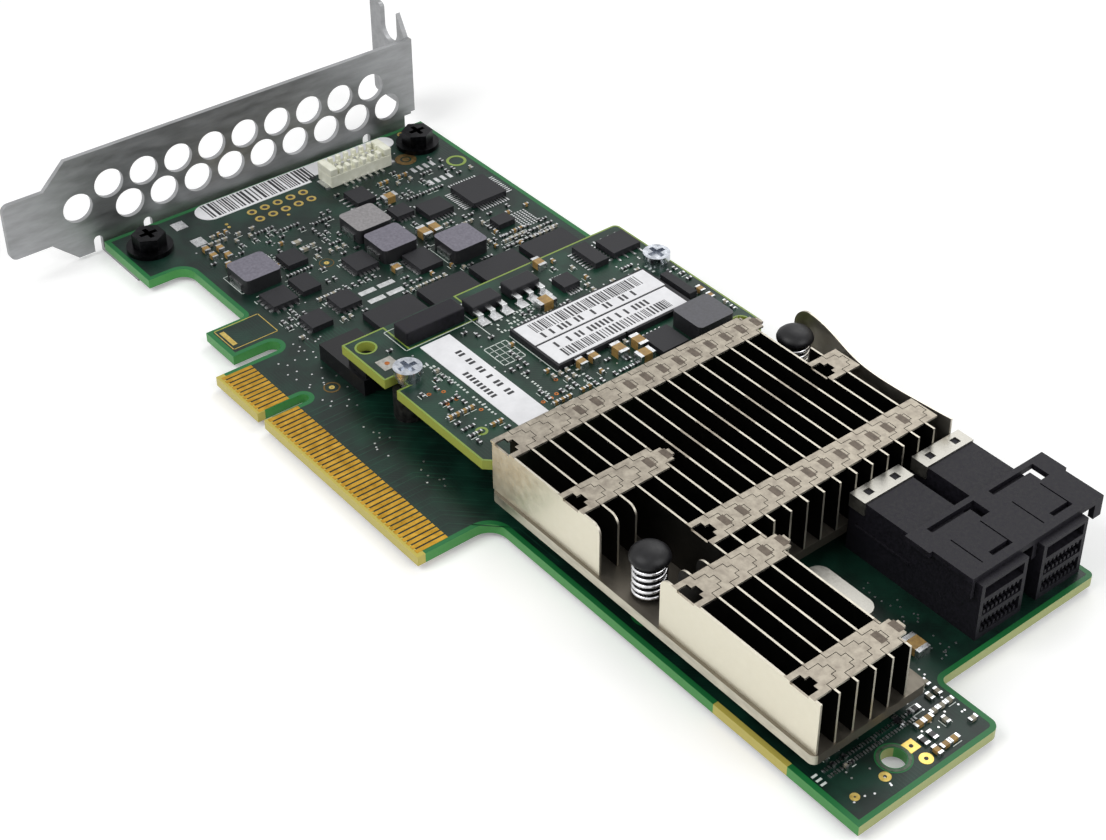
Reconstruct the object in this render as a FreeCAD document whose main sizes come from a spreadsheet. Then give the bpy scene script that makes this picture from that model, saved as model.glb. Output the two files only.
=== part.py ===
import FreeCAD, Part
import math
import os
import re
import Sketcher

# RAID controller card, low profile, PCI Express x8, lying on its solder side.
# X runs along the board from the bracket to the drive connectors, Y from the
# edge contacts to the opposite long edge, Z up from the component face.
# The origin is the middle of the edge connector's key notch.

SIZES = {
    "Main board": [
        ("board_thickness", 1.57), ("board_start", -56.3), ("board_length", 167.1),
        ("board_width", 68.9), ("board_low_edge", 12.75),
        ("foot_end", -41.7), ("foot_edge", 5.0), ("bay_edge", 11.9),
        ("ear_start", -23.4), ("ear_end", -15.4), ("ear_edge", 4.7),
        ("slot_end", -12.6), ("slot_depth", 12.0), ("tab_end", 39.6),
        ("key_width", 1.9), ("key_depth", 8.2),
        ("step_length", 10.3), ("step_y", 38.0),
        ("bay_corner", 2.5), ("inner_corner", 1.0), ("tab_corner", 3.0),
        ("end_corner", 1.5),
        ("mount_hole_inset", 4.9), ("mount_hole_y", 23.8), ("mount_hole_dia", 3.3),
    ],
    "Edge contacts": [
        ("contact_pitch", 1.0), ("contact_width", 0.7), ("contact_end", 5.65),
        ("contact_start", 0.45), ("contact_thickness", 0.05),
        ("first_contact", 1.5), ("short_side_pins", 11), ("long_side_pins", 38),
    ],
    "Bracket": [
        ("bracket_gap", 0.8), ("bracket_thickness", 0.86), ("bracket_top", 16.64),
        ("bracket_low", -1.78), ("shoulder_y", 0.7), ("bracket_end", 67.45),
        ("bracket_length", 79.11), ("tail_low", 2.2), ("tail_top", 12.39),
        ("tail_slope", 4.3), ("tail_corner", 1.3),
        ("vent_dia", 5.2), ("vent_pitch", 6.43), ("vent_first", 7.72),
        ("vent_high", 9.93), ("vent_low", 4.92), ("vent_count", 9),
        ("lone_vent_y", 1.8), ("lone_vent_z", 7.4),
        ("flap_length", 11.43), ("flap_low", 2.2), ("flap_top", 20.6),
        ("flap_corner", 0.9), ("flap_slope", 2.2), ("notch_width", 4.8),
        ("notch_centre", 5.65), ("notch_low", 14.2),
        ("lug_low_y", 9.0), ("lug_high_y", 62.2), ("lug_width", 7.6),
        ("lug_length", 12.0), ("relief_width", 1.6), ("relief_top", 1.0),
        ("corner_step_z", 1.8),
    ],
    "Bracket screws": [
        ("screw_x", -49.8), ("screw_low_y", 9.9), ("screw_high_y", 63.6),
        ("screw_dia", 3.0), ("screw_hole_dia", 3.2), ("flange_dia", 7.6),
        ("flange_height", 0.8), ("hex_width", 4.8), ("hex_height", 2.2),
        ("recess_width", 0.8), ("recess_length", 3.0), ("recess_depth", 1.4),
    ],
    "Daughter board": [
        ("stack_height", 5.0), ("daughter_start", 0.3), ("daughter_end", 37.2),
        ("daughter_low", 14.5), ("daughter_top", 67.9),
        ("window_end", 7.2), ("window_low", 22.0), ("window_top", 35.0),
        ("daughter_corner", 2.2), ("post_x", 13.0), ("post_low_y", 17.6),
        ("post_high_y", 65.6), ("post_dia", 4.8), ("post_hole_dia", 3.1),
        ("post_bore", 2.6), ("post_screw_dia", 2.4), ("post_screw_depth", 3.5),
        ("post_collar_dia", 3.8), ("post_collar_height", 1.0),
        ("post_head_dia", 4.4), ("post_head_height", 1.1),
        ("ear_hole_x", 3.0), ("ear_hole_y", 17.0), ("ear_hole_dia", 2.8),
        ("corner_hole_x", 33.2), ("corner_hole_y", 65.2), ("corner_hole_dia", 2.6),
    ],
    "Heat sink": [
        ("sink_low", 2.6), ("sink_thickness", 1.5), ("sink_start", 38.6),
        ("sink_end", 102.3), ("sink_front", 13.35), ("sink_step_y", 33.2),
        ("sink_back", 67.4), ("sink_corner", 1.0),
        ("fin_top", 12.5), ("fin_thickness", 0.32), ("fin_first", 13.85),
        ("fin_pitch", 3.05), ("fin_start", 38.4), ("fin_gap_start", 61.4),
        ("fin_gap_end", 73.4), ("fin_front_end", 102.0), ("fin_main_end", 74.8),
        ("fin_side_start", 50.4), ("fin_corner", 1.5),
        ("zip_width", 5.0), ("zip_tongue", 3.0), ("zip_tongue_reach", 1.55),
        ("zip_tip", 1.3), ("zip_tip_reach", 2.3), ("zip_clearance", 0.1),
        ("rear_reach", 2.7), ("rear_start_x", 41.2), ("rear_start_y", 68.6),
        ("rear_bulge_x", 48.5), ("rear_bulge_y", 68.0), ("rear_waist_x", 57.0),
        ("rear_waist_y", 65.7), ("rear_bend_x", 66.0), ("rear_bend_y", 65.4),
        ("rear_end_y", 66.2), ("rear_corner", 3.0),
        ("row_a", 40.6), ("row_b", 55.4), ("row_c", 70.5), ("row_e", 78.1),
        ("row_f", 98.4),
        ("pin_low_x", 67.8), ("pin_low_y", 17.0), ("pin_high_x", 45.0),
        ("pin_high_y", 65.0), ("pin_dia", 2.8), ("pin_hole_dia", 3.1),
        ("pin_cap_dia", 5.7), ("pin_cap_height", 1.8), ("pin_top", 11.8),
        ("pin_dome_height", 0.9), ("pin_flat_dia", 3.8), ("pin_barb_reach", 0.4),
        ("spring_dia", 5.0), ("spring_wire", 0.45), ("spring_turns", 4.5), ("spring_sides", 4),
        ("chip_side", 27.0), ("chip_x", 56.5), ("chip_y", 40.0),
        ("chip_height", 1.3), ("lid_side", 19.0), ("pad_thickness", 0.25),
    ],
    "Drive connectors": [
        ("port_start", 74.9), ("port_end", 98.6), ("port_width", 9.0),
        ("port_height", 9.6), ("port_low_y", 51.1), ("port_pitch", 12.1),
        ("port_wall", 0.7), ("port_depth", 8.0), ("hood_low", 7.1),
        ("hood_height", 1.9), ("slot_first", 0.9), ("slot_tall", 2.3),
        ("slot_pitch", 3.1), ("tooth_count", 9), ("tooth_pitch", 0.8),
        ("tooth_width", 0.4), ("tooth_height", 0.65), ("tooth_setback", 0.15),
        ("rib_length", 10.0), ("rib_depth", 0.25), ("rib_height", 0.3),
        ("rib_low", 4.8),
        ("clip_length", 2.9), ("clip_thickness", 0.25),
        ("clip_hole", 1.2), ("clip_hole_spread", 5.1), ("clip_drop", 2.0),
        ("latch_start", 86.1), ("latch_end", 97.5), ("latch_low_y", 45.2),
        ("latch_high_y", 72.6), ("latch_thickness", 0.9), ("latch_shoulder", 4.4),
        ("latch_inset", 0.6), ("lip_drop", 2.5), ("lip_length", 0.9),
        ("lip_width", 0.6), ("lip_mid_width", 0.9), ("lip_end_width", 1.6),
        ("lip_mid_y", 58.15), ("slot_near", 0.9), ("slot_width", 1.0),
        ("slot_reach", 3.9), ("slot_low", 2.7), ("slot_high", 6.4),
        ("slot_arm", 1.7), ("cut_near", 9.1), ("cut_width", 0.8),
        ("cut_low", 0.2), ("groove_width", 0.22),
        ("groove_near", 4.4), ("groove_far", 10.0), ("groove_high", 4.1),
        ("groove_low", 1.75),
    ],
    "Power parts": [
        ("choke_length", 6.5), ("choke_width", 6.7), ("choke_height", 2.6),
        ("choke_corner", 0.8), ("choke_foot", 0.25), ("choke_foot_width", 3.4),
        ("big_choke_height", 2.8),
    ],
    "Packages": [
        ("memory_length", 9.0), ("memory_width", 8.5), ("memory_height", 1.1),
        ("memory_x", -7.05), ("memory_y", 30.2), ("memory_pitch", 10.33),
        ("driver_height", 1.0), ("lead_thickness", 0.15), ("lead_width", 0.32),
        ("lead_reach", 1.2), ("lead_inset", 1.0), ("pad_width", 0.5), ("pad_reach", 0.6),
        ("transistor_x", 6.4), ("transistor_y", 38.4), ("transistor_step", 7.1),
        ("transistor_length", 3.8), ("transistor_width", 6.5), ("transistor_height", 2.1),
        ("transistor_tab", 3.0), ("transistor_shoulder", 1.0), ("transistor_reach", 2.0),
        ("transistor_lead", 0.9), ("transistor_lead_height", 0.5), ("transistor_pitch", 2.28),
        ("quad_side", 7.0), ("quad_span", 10.2), ("quad_x", -29.8),
        ("quad_y", 62.2), ("quad_leads", 11), ("quad_pitch", 0.55),
        ("quad_height", 1.0), ("quad_lead", 0.26), ("outline_height", 1.1),
        ("cache_start", 13.9), ("cache_length", 11.8), ("cache_low", 35.6),
        ("cache_width", 13.0), ("cache_gap", 0.4), ("cache_height", 1.0),
        ("crystal_x", 82.7), ("crystal_y", 36.9), ("crystal_length", 11.3),
        ("crystal_width", 4.6), ("crystal_height", 3.0), ("crystal_rim", 0.4),
    ],
    "Board connectors": [
        ("header_x", -51.0), ("header_y", 43.4), ("header_depth", 4.2),
        ("header_length", 12.6), ("header_height", 3.6), ("header_wall", 0.7),
        ("header_floor", 1.2), ("header_corner", 1.4), ("header_pins", 7),
        ("header_pitch", 1.25), ("header_pin_width", 0.5), ("header_pin_height", 1.8),
        ("header_foot", 1.2), ("header_tab", 3.0), ("header_tab_reach", 0.9),
        ("header_tab_height", 0.3),
        ("link_x", -6.6), ("link_y", 14.7), ("link_length", 12.1),
        ("link_width", 6.9), ("link_height", 2.8), ("link_plug_inset", 1.2),
    ],
    "Small parts": [
        ("label_thickness", 0.1), ("ring_thickness", 0.05), ("ring_margin", 0.3),
        ("cap_share", 0.22), ("seat_gap", 0.02),
    ],
}


# Pieces given by their near corner, length along the board, width across it
# and height where it differs from its neighbours.
PLACES = {
    "Chokes": {
        "choke_a": (-31.3, 18.4), "choke_b": (-24.7, 40.4), "choke_c": (-17.5, 49.4),
        "choke_d": (-32.3, 40.6),
    },
    "Chips": {
        "driver_a": (-34.0, 24.0, 4.1, 3.7), "driver_b": (-26.5, 31.8, 4.7, 4.2),
        "driver_c": (-26.8, 21.8, 4.6, 3.4), "driver_d": (-26.0, 15.9, 4.5, 4.6),
        "driver_e": (-18.8, 23.9, 4.2, 3.9), "driver_f": (-16.9, 17.5, 4.0, 3.8),
        "driver_h": (-34.3, 46.2, 3.3, 3.4), "driver_i": (-21.0, 40.0, 5.4, 4.4),
        "driver_j": (-21.0, 58.0, 2.7, 3.3),
        "logic": (-32.0, 50.5, 4.2, 5.0), "gate": (-43.0, 43.3, 4.5, 3.7),
        "flash": (3.4, 61.0, 4.6, 5.5), "sense": (2.4, 56.9, 6.0, 2.7),
        "clock": (17.0, 62.9, 7.0, 1.5), "monitor": (7.3, 48.9, 3.2, 3.1),
        "power": (27.8, 49.8, 5.1, 5.0), "choke_big": (27.1, 56.35, 6.6, 7.1),
    },
    "Capacitors": {
        "cap_a": (-38.0, 47.4, 1.5, 2.8, 1.3), "cap_b": (-26.0, 48.4, 3.0, 1.5, 1.4),
        "cap_c": (-26.0, 46.2, 3.0, 1.6, 1.4), "cap_d": (-20.0, 36.9, 2.0, 1.3, 1.0),
        "cap_e": (93.0, 38.4, 3.3, 2.2, 1.3), "cap_f": (-44.0, 16.0, 1.6, 1.0, 0.8),
        "cap_g": (-41.6, 16.0, 1.6, 1.0, 0.8), "cap_h": (-40.3, 18.0, 1.6, 1.0, 0.8),
        "cap_i": (-42.9, 18.0, 1.6, 1.0, 0.8), "cap_j": (-37.6, 16.6, 1.6, 1.0, 0.8),
    },
    "Daughter capacitors": {
        "cap_k": (10.6, 42.6, 2.0, 3.2, 1.6), "cap_l": (27.0, 47.9, 2.9, 1.6, 1.6),
        "cap_m": (26.8, 44.3, 2.8, 1.7, 1.6), "cap_n": (30.6, 45.9, 1.8, 2.8, 1.6),
        "cap_o": (26.0, 40.6, 1.9, 1.3, 1.2), "cap_p": (26.0, 38.3, 1.8, 1.3, 1.2),
        "cap_q": (1.0, 49.6, 2.5, 1.4, 1.2), "cap_r": (22.6, 65.2, 1.6, 0.9, 0.8),
        "cap_s": (25.0, 65.2, 1.4, 0.9, 0.8),
    },
    "Labels": {
        "deck_label": (8.1, 23.2, 24.1, 5.4), "board_label": (-56.0, 20.7, 5.2, 40.3),
        "label_neck": (3.8, 21.2, 1.2, 1.0),
    },
}
SUFFIXES = ("x", "y", "length", "width", "height")
for title, pieces in PLACES.items():
    SIZES[title] = [("%s_%s" % (name, suffix), number)
                    for name, numbers in pieces.items()
                    for suffix, number in zip(SUFFIXES, numbers)]
ALIASES = {alias for cells in SIZES.values() for alias, _ in cells}

# Places that follow from the sizes
DERIVED = {
    "board_end": "board_start + board_length",
    "board_top_edge": "board_width",
    "step_x": "board_end - step_length",
    "mount_hole_x": "board_end - mount_hole_inset",
    "tail_end": "bracket_end + bracket_thickness - bracket_length",
}


def make_sheet(document):
    sheet = document.addObject("Spreadsheet::Sheet", "spec")
    sheet.Label = "spec"
    row = 1
    for section, cells in SIZES.items():
        sheet.set("A%d" % row, section)
        row += 1
        for alias, value in cells:
            sheet.set("A%d" % row, alias)
            sheet.set("B%d" % row, str(value))
            sheet.setAlias("B%d" % row, alias)
            row += 1
    document.recompute()
    return sheet


doc = FreeCAD.newDocument("raid_controller_card")
spec = make_sheet(doc)
nodes = []


def words(text):
    """The expression with each size's alias written as a reference to the sheet."""
    def swap(match):
        word = match.group(1)
        if word in DERIVED:
            return "(%s)" % words(DERIVED[word])
        return "spec." + word if word in ALIASES else word
    return re.sub(r"(?<![\w.])([a-z]\w*)", swap, str(text))


def value(text):
    return float(spec.evalExpression(words(text)))


def bind(obj, **sizes):
    for prop, text in sizes.items():
        obj.setExpression(prop.replace("__", "."), words(text))


def place(obj, at):
    bind(obj, Placement__Base__x=at[0], Placement__Base__y=at[1], Placement__Base__z=at[2])


def box(name, size, at):
    solid = doc.addObject("Part::Box", name)
    bind(solid, Length=size[0], Width=size[1], Height=size[2])
    place(solid, at)
    return solid


def box_on(name, size, centre, z):
    """A box given by the middle of its footprint and the height it stands at."""
    corner = ["(%s) - (%s) / 2" % (centre[i], size[i]) for i in (0, 1)]
    return box(name, size, (corner[0], corner[1], z))


def cylinder(name, dia, height, at):
    solid = doc.addObject("Part::Cylinder", name)
    bind(solid, Radius="(%s) / 2" % dia, Height=height)
    place(solid, at)
    return solid


def hexagon(name, width, height, at):
    solid = doc.addObject("Part::Prism", name)
    solid.Polygon = 6
    bind(solid, Circumradius="(%s) / 2 / cos(30)" % width, Height=height)
    place(solid, at)
    return solid


def tube(name, dia, bore, height, at):
    outer = cylinder(name + "_outer", dia, height, at)
    inner = cylinder(name + "_bore", bore, height, at)
    return cut(name, outer, [inner])


def fuse(name, shapes):
    if len(shapes) == 1:
        return shapes[0]
    joined = doc.addObject("Part::MultiFuse", name)
    joined.Shapes = shapes
    return joined


def cut(name, base, tools):
    result = doc.addObject("Part::Cut", name)
    result.Base = base
    result.Tool = fuse(name + "_tools", tools)
    return result


def node(label, shapes):
    """One node of the part: one solid, or a group of like pieces."""
    if len(shapes) == 1:
        item = shapes[0]
    else:
        item = doc.addObject("Part::Compound", label)
        item.Links = shapes
    item.Label = label
    nodes.append((label, item))
    return item


def body(name):
    item = doc.addObject("PartDesign::Body", name)
    item.AllowCompound = True
    return item


def plane_of(item, role):
    for feature in item.Origin.OriginFeatures:
        if feature.Role == role:
            return feature
    return None


def new_sketch(item, name, role, offset):
    sketch = item.newObject("Sketcher::SketchObject", name)
    sketch.AttachmentSupport = [(plane_of(item, role), "")]
    sketch.MapMode = "FlatFace"
    sketch.setExpression("AttachmentOffset.Base.z", words(offset))
    return sketch


def pin_point(sketch, geo, pos, x, y):
    """Holds one end of an edge at the named place."""
    for kind, text in (("DistanceX", x), ("DistanceY", y)):
        number = sketch.addConstraint(
            Sketcher.Constraint(kind, -1, 1, geo, pos, value(text)))
        sketch.setExpression("Constraints[%d]" % number, words(text))


def sign(number):
    return (number > 1e-9) - (number < -1e-9)


def draw_outline(sketch, corners):
    """A closed outline. Corners are (x, y) or (x, y, radius); a rounded corner
    lies between one edge along the sketch's x and one along its y."""
    points = [(value(c[0]), value(c[1])) for c in corners]
    count = len(corners)
    starts, ends, arcs = [], [], []
    for i, corner in enumerate(corners):
        if len(corner) == 2:
            starts.append((corner[0], corner[1]))
            ends.append((corner[0], corner[1]))
            arcs.append(None)
            continue
        before = points[i - 1]
        after = points[(i + 1) % count]
        here = points[i]
        into = (sign(here[0] - before[0]), sign(here[1] - before[1]))
        away = (sign(after[0] - here[0]), sign(after[1] - here[1]))
        x, y, radius = corner
        first = ("(%s) - (%d) * (%s)" % (x, into[0], radius),
                 "(%s) - (%d) * (%s)" % (y, into[1], radius))
        last = ("(%s) + (%d) * (%s)" % (x, away[0], radius),
                "(%s) + (%d) * (%s)" % (y, away[1], radius))
        ends.append(first)
        starts.append(last)
        r = value(radius)
        centre = (here[0] - into[0] * r + away[0] * r, here[1] - into[1] * r + away[1] * r)
        turn = into[0] * away[1] - into[1] * away[0]
        arcs.append((centre, r, turn, radius))
    arc_ids = {}
    for i in range(count):
        nxt = (i + 1) % count
        a = FreeCAD.Vector(value(starts[i][0]), value(starts[i][1]), 0)
        b = FreeCAD.Vector(value(ends[nxt][0]), value(ends[nxt][1]), 0)
        if (a - b).Length < 1e-6:
            line = None
        else:
            line = sketch.addGeometry(Part.LineSegment(a, b), False)
            pin_point(sketch, line, 1, *starts[i])
            pin_point(sketch, line, 2, *ends[nxt])
        arc_ids[i] = line
    for i, arc in enumerate(arcs):
        if arc is None:
            continue
        centre, r, turn, radius = arc
        first = FreeCAD.Vector(value(ends[i][0]), value(ends[i][1]), 0)
        last = FreeCAD.Vector(value(starts[i][0]), value(starts[i][1]), 0)
        begin, finish = (first, last) if turn > 0 else (last, first)
        a0 = math.atan2(begin.y - centre[1], begin.x - centre[0])
        a1 = math.atan2(finish.y - centre[1], finish.x - centre[0])
        if a1 < a0:
            a1 += 2 * math.pi
        circle = Part.Circle(FreeCAD.Vector(centre[0], centre[1], 0), FreeCAD.Vector(0, 0, 1), r)
        geo = sketch.addGeometry(Part.ArcOfCircle(circle, a0, a1), False)
        spots = (1, 2) if turn > 0 else (2, 1)
        pin_point(sketch, geo, spots[0], *ends[i])
        pin_point(sketch, geo, spots[1], *starts[i])
        number = sketch.addConstraint(Sketcher.Constraint("Radius", geo, r))
        sketch.setExpression("Constraints[%d]" % number, words(radius))


def draw_circle(sketch, x, y, dia):
    geo = sketch.addGeometry(Part.Circle(
        FreeCAD.Vector(value(x), value(y), 0), FreeCAD.Vector(0, 0, 1), value(dia) / 2), False)
    pin_point(sketch, geo, 3, x, y)
    number = sketch.addConstraint(Sketcher.Constraint("Diameter", geo, value(dia)))
    sketch.setExpression("Constraints[%d]" % number, words(dia))


def pad(item, sketch, length, reverse=False):
    feature = item.newObject("PartDesign::Pad", sketch.Name + "_pad")
    feature.Profile = sketch
    bind(feature, Length=length)
    feature.Reversed = reverse
    sketch.Visibility = False
    return feature


def plate(name, role, offset, corners, thickness, holes=(), reverse=False):
    """A flat piece: an outline with round holes, padded to its thickness."""
    item = body(name)
    sketch = new_sketch(item, name + "_outline", role, offset)
    draw_outline(sketch, corners)
    for hole in holes:
        draw_circle(sketch, *hole)
    pad(item, sketch, thickness, reverse)
    return item


def rounded(name, size, centre, z, height, radius):
    """A block with upright rounded corners, given by its middle."""
    x0 = "(%s) - (%s) / 2" % (centre[0], size[0])
    x1 = "(%s) + (%s) / 2" % (centre[0], size[0])
    y0 = "(%s) - (%s) / 2" % (centre[1], size[1])
    y1 = "(%s) + (%s) / 2" % (centre[1], size[1])
    corners = [(x0, y0, radius), (x1, y0, radius), (x1, y1, radius), (x0, y1, radius)]
    return plate(name, "XY_Plane", z, corners, height)


def row(name, size, centre, z, axis, count, pitch):
    """Like boxes in a straight row. The row starts at the given middle."""
    item = body(name)
    sketch = new_sketch(item, name + "_outline", "XY_Plane", z)
    x0 = "(%s) - (%s) / 2" % (centre[0], size[0])
    x1 = "(%s) + (%s) / 2" % (centre[0], size[0])
    y0 = "(%s) - (%s) / 2" % (centre[1], size[1])
    y1 = "(%s) + (%s) / 2" % (centre[1], size[1])
    draw_outline(sketch, [(x0, y0), (x1, y0), (x1, y1), (x0, y1)])
    feature = pad(item, sketch, size[2])
    pattern(item, name + "_row", [feature], sketch, axis, count, pitch)
    return item


def pattern(item, name, originals, sketch, axis, count, pitch):
    repeat = item.newObject("PartDesign::LinearPattern", name)
    repeat.Originals = originals
    repeat.Direction = (sketch, [axis])
    repeat.Mode = "Spacing"
    bind(repeat, Occurrences=count, Offset=pitch)
    item.Tip = repeat
    return repeat


def span(low, high):
    """Size and middle of a stretch between two places."""
    return "(%s) - (%s)" % (high, low), "((%s) + (%s)) / 2" % (low, high)


def block(name, x, y, z, height):
    """A box given by where it starts and ends along the board and across it."""
    size = (span(*x)[0], span(*y)[0], height)
    return box(name, size, (str(x[0]), str(y[0]), z))


# Main board: stepped outline, edge tab with its key, bracket end notches
slot_round = "(slot_end - ear_end) / 2"
key_round = "key_width / 2"
board = plate("main_board_blank", "XY_Plane", "-board_thickness", [
    ("board_start", "foot_edge"), ("foot_end", "foot_edge"),
    ("foot_end", "bay_edge", "bay_corner"), ("ear_start", "bay_edge", "inner_corner"),
    ("ear_start", "ear_edge"), ("ear_end", "ear_edge"),
    ("ear_end", "slot_depth", slot_round), ("slot_end", "slot_depth", slot_round),
    ("slot_end", "0"), ("-key_width / 2", "0"),
    ("-key_width / 2", "key_depth", key_round), ("key_width / 2", "key_depth", key_round),
    ("key_width / 2", "0"), ("tab_end", "0"), ("tab_end", "board_low_edge", "tab_corner"),
    ("board_end", "board_low_edge"), ("board_end", "step_y", "end_corner"),
    ("step_x", "step_y", "inner_corner"), ("step_x", "board_top_edge", "inner_corner"),
    ("board_start", "board_top_edge")],
    "board_thickness",
    [("mount_hole_x", "mount_hole_y", "mount_hole_dia"),
     ("screw_x", "screw_low_y", "screw_hole_dia"),
     ("screw_x", "screw_high_y", "screw_hole_dia"),
     ("pin_low_x", "pin_low_y", "pin_hole_dia"),
     ("pin_high_x", "pin_high_y", "pin_hole_dia")])
node("main_board", [board])

contact_y = "(contact_start + contact_end) / 2"
contact_size = ("contact_width", "contact_end - contact_start", "contact_thickness")
contact_rows = []
for side, level in (("top", "0"), ("under", "-board_thickness - contact_thickness")):
    contact_rows.append(row("contacts_short_" + side, contact_size,
                            ("-first_contact - (short_side_pins - 1) * contact_pitch",
                             contact_y), level, "H_Axis", "short_side_pins", "contact_pitch"))
    contact_rows.append(row("contacts_long_" + side, contact_size,
                            ("first_contact", contact_y), level,
                            "H_Axis", "long_side_pins", "contact_pitch"))
node("edge_contacts", contact_rows)

# Slot bracket: perforated plate, tail, screw flap, two lugs under the board
inner_x = "board_start - bracket_gap"
outer_x = "board_start - bracket_gap - bracket_thickness"
lug_z = "-board_thickness - bracket_thickness"
relief = "relief_width / 2"
low_a = "lug_low_y - lug_width / 2"
low_b = "lug_low_y + lug_width / 2"
high_a = "lug_high_y - lug_width / 2"
high_b = "lug_high_y + lug_width / 2"
bracket = plate("bracket_plate", "YZ_Plane", outer_x, [
    ("shoulder_y", "bracket_low"),
    (low_a + " - relief_width", "bracket_low"), (low_a + " - relief_width", "relief_top", relief),
    (low_a, "relief_top", relief), (low_a, lug_z), (low_b, lug_z),
    (low_b, "relief_top", relief), (low_b + " + relief_width", "relief_top", relief),
    (low_b + " + relief_width", "bracket_low"),
    (high_a + " - relief_width", "bracket_low"), (high_a + " - relief_width", "relief_top", relief),
    (high_a, "relief_top", relief), (high_a, lug_z), (high_b, lug_z),
    (high_b, "corner_step_z"), ("bracket_end", "corner_step_z"),
    ("bracket_end", "bracket_top"), ("shoulder_y", "bracket_top"),
    ("shoulder_y - tail_slope", "tail_top"), ("tail_end", "tail_top", "tail_corner"),
    ("tail_end", "tail_low", "tail_corner"), ("shoulder_y - tail_slope", "tail_low")],
    "bracket_thickness")
vents = new_sketch(bracket, "bracket_vents", "YZ_Plane", outer_x)
draw_circle(vents, "vent_first", "vent_high", "vent_dia")
draw_circle(vents, "vent_first + vent_pitch / 2", "vent_low", "vent_dia")
vent_cut = bracket.newObject("PartDesign::Pocket", "bracket_vent_cut")
vent_cut.Profile = vents
bind(vent_cut, Length="bracket_thickness")
vent_cut.Reversed = True
pattern(bracket, "bracket_vent_rows", [vent_cut], vents, "H_Axis", "vent_count", "vent_pitch")
lone = new_sketch(bracket, "bracket_lone_vent", "YZ_Plane", outer_x)
draw_circle(lone, "lone_vent_y", "lone_vent_z", "vent_dia")
lone_cut = bracket.newObject("PartDesign::Pocket", "bracket_lone_cut")
lone_cut.Profile = lone
bind(lone_cut, Length="bracket_thickness")
lone_cut.Reversed = True
bracket.Tip = lone_cut

notch_round = "notch_width / 2"
notch_in = inner_x + " - notch_centre + notch_width / 2"
notch_out = inner_x + " - notch_centre - notch_width / 2"
flap_end = inner_x + " - flap_length"
flap = plate("bracket_flap", "XZ_Plane", "-bracket_end", [
    (inner_x, "flap_low"), (inner_x, "bracket_top"),
    (notch_in + " + flap_slope", "bracket_top"), (notch_in, "flap_top"),
    (notch_in, "notch_low", notch_round), (notch_out, "notch_low", notch_round),
    (notch_out, "flap_top", "flap_corner"), (flap_end, "flap_top", "flap_corner"),
    (flap_end, "flap_low", "flap_corner")],
    "bracket_thickness", reverse=True)
lugs = []
for tag, low, hole in (("low", low_a, "screw_low_y"), ("high", high_a, "screw_high_y")):
    blank = box("lug_blank_" + tag, ("lug_length", "lug_width", "bracket_thickness"),
                (outer_x, low, lug_z))
    bore = cylinder("lug_bore_" + tag, "screw_hole_dia", "bracket_thickness",
                    ("screw_x", hole, lug_z))
    lugs.append(cut("bracket_lug_" + tag, blank, [bore]))
node("io_bracket", [fuse("io_bracket_sheet", [bracket, flap] + lugs)])

screws = []
for tag, y in (("low", "screw_low_y"), ("high", "screw_high_y")):
    parts = [cylinder("screw_flange_" + tag, "flange_dia", "flange_height", ("screw_x", y, "0")),
             hexagon("screw_hex_" + tag, "hex_width", "hex_height",
                     ("screw_x", y, "flange_height")),
             cylinder("screw_shank_" + tag, "screw_dia", "board_thickness + bracket_thickness",
                      ("screw_x", y, lug_z))]
    floor = "flange_height + hex_height - recess_depth"
    cross = [box_on("screw_cross_a_" + tag, ("recess_length", "recess_width", "recess_depth"),
                    ("screw_x", y), floor),
             box_on("screw_cross_b_" + tag, ("recess_width", "recess_length", "recess_depth"),
                    ("screw_x", y), floor)]
    screws.append(cut("bracket_screw_" + tag, fuse("screw_solid_" + tag, parts), cross))
node("bracket_screws", screws)

# Daughter board on two posts
deck = "stack_height"
deck_top = "stack_height + board_thickness"
post_a = "post_x - post_hole_dia / 2"
post_b = "post_x + post_hole_dia / 2"
daughter = plate("daughter_board_blank", "XY_Plane", deck, [
    ("daughter_start", "daughter_low"), (post_a, "daughter_low"),
    (post_a, "post_low_y + post_hole_dia / 2", "post_hole_dia / 2"),
    (post_b, "post_low_y + post_hole_dia / 2", "post_hole_dia / 2"), (post_b, "daughter_low"),
    ("daughter_end - daughter_corner", "daughter_low"),
    ("daughter_end", "daughter_low + daughter_corner"),
    ("daughter_end", "daughter_top - daughter_corner"),
    ("daughter_end - daughter_corner", "daughter_top"),
    ("daughter_start", "daughter_top", "inner_corner"), ("daughter_start", "window_top"),
    ("window_end", "window_top"), ("window_end", "window_low"),
    ("daughter_start", "window_low")],
    "board_thickness",
    [("ear_hole_x", "ear_hole_y", "ear_hole_dia"),
     ("corner_hole_x", "corner_hole_y", "corner_hole_dia"),
     ("post_x", "post_high_y", "post_hole_dia")])
node("daughter_board", [daughter])

posts = []
post_screws = []
for tag, y in (("low", "post_low_y"), ("high", "post_high_y")):
    posts.append(tube("post_" + tag, "post_dia", "post_bore", deck, ("post_x", y, "0")))
    parts = [cylinder("post_shank_" + tag, "post_screw_dia", "post_screw_depth + board_thickness",
                      ("post_x", y, deck + " - post_screw_depth")),
             cylinder("post_collar_" + tag, "post_collar_dia", "post_collar_height",
                      ("post_x", y, deck_top)),
             cylinder("post_head_" + tag, "post_head_dia", "post_head_height",
                      ("post_x", y, deck_top + " + post_collar_height"))]
    floor = deck_top + " + post_collar_height + post_head_height - recess_depth / 2"
    cross = [box_on("post_cross_a_" + tag, ("recess_length", "recess_width", "recess_depth"),
                    ("post_x", y), floor),
             box_on("post_cross_b_" + tag, ("recess_width", "recess_length", "recess_depth"),
                    ("post_x", y), floor)]
    post_screws.append(cut("post_screw_" + tag, fuse("post_solid_" + tag, parts), cross))
node("board_posts", posts)
node("post_screws", post_screws)

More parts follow.
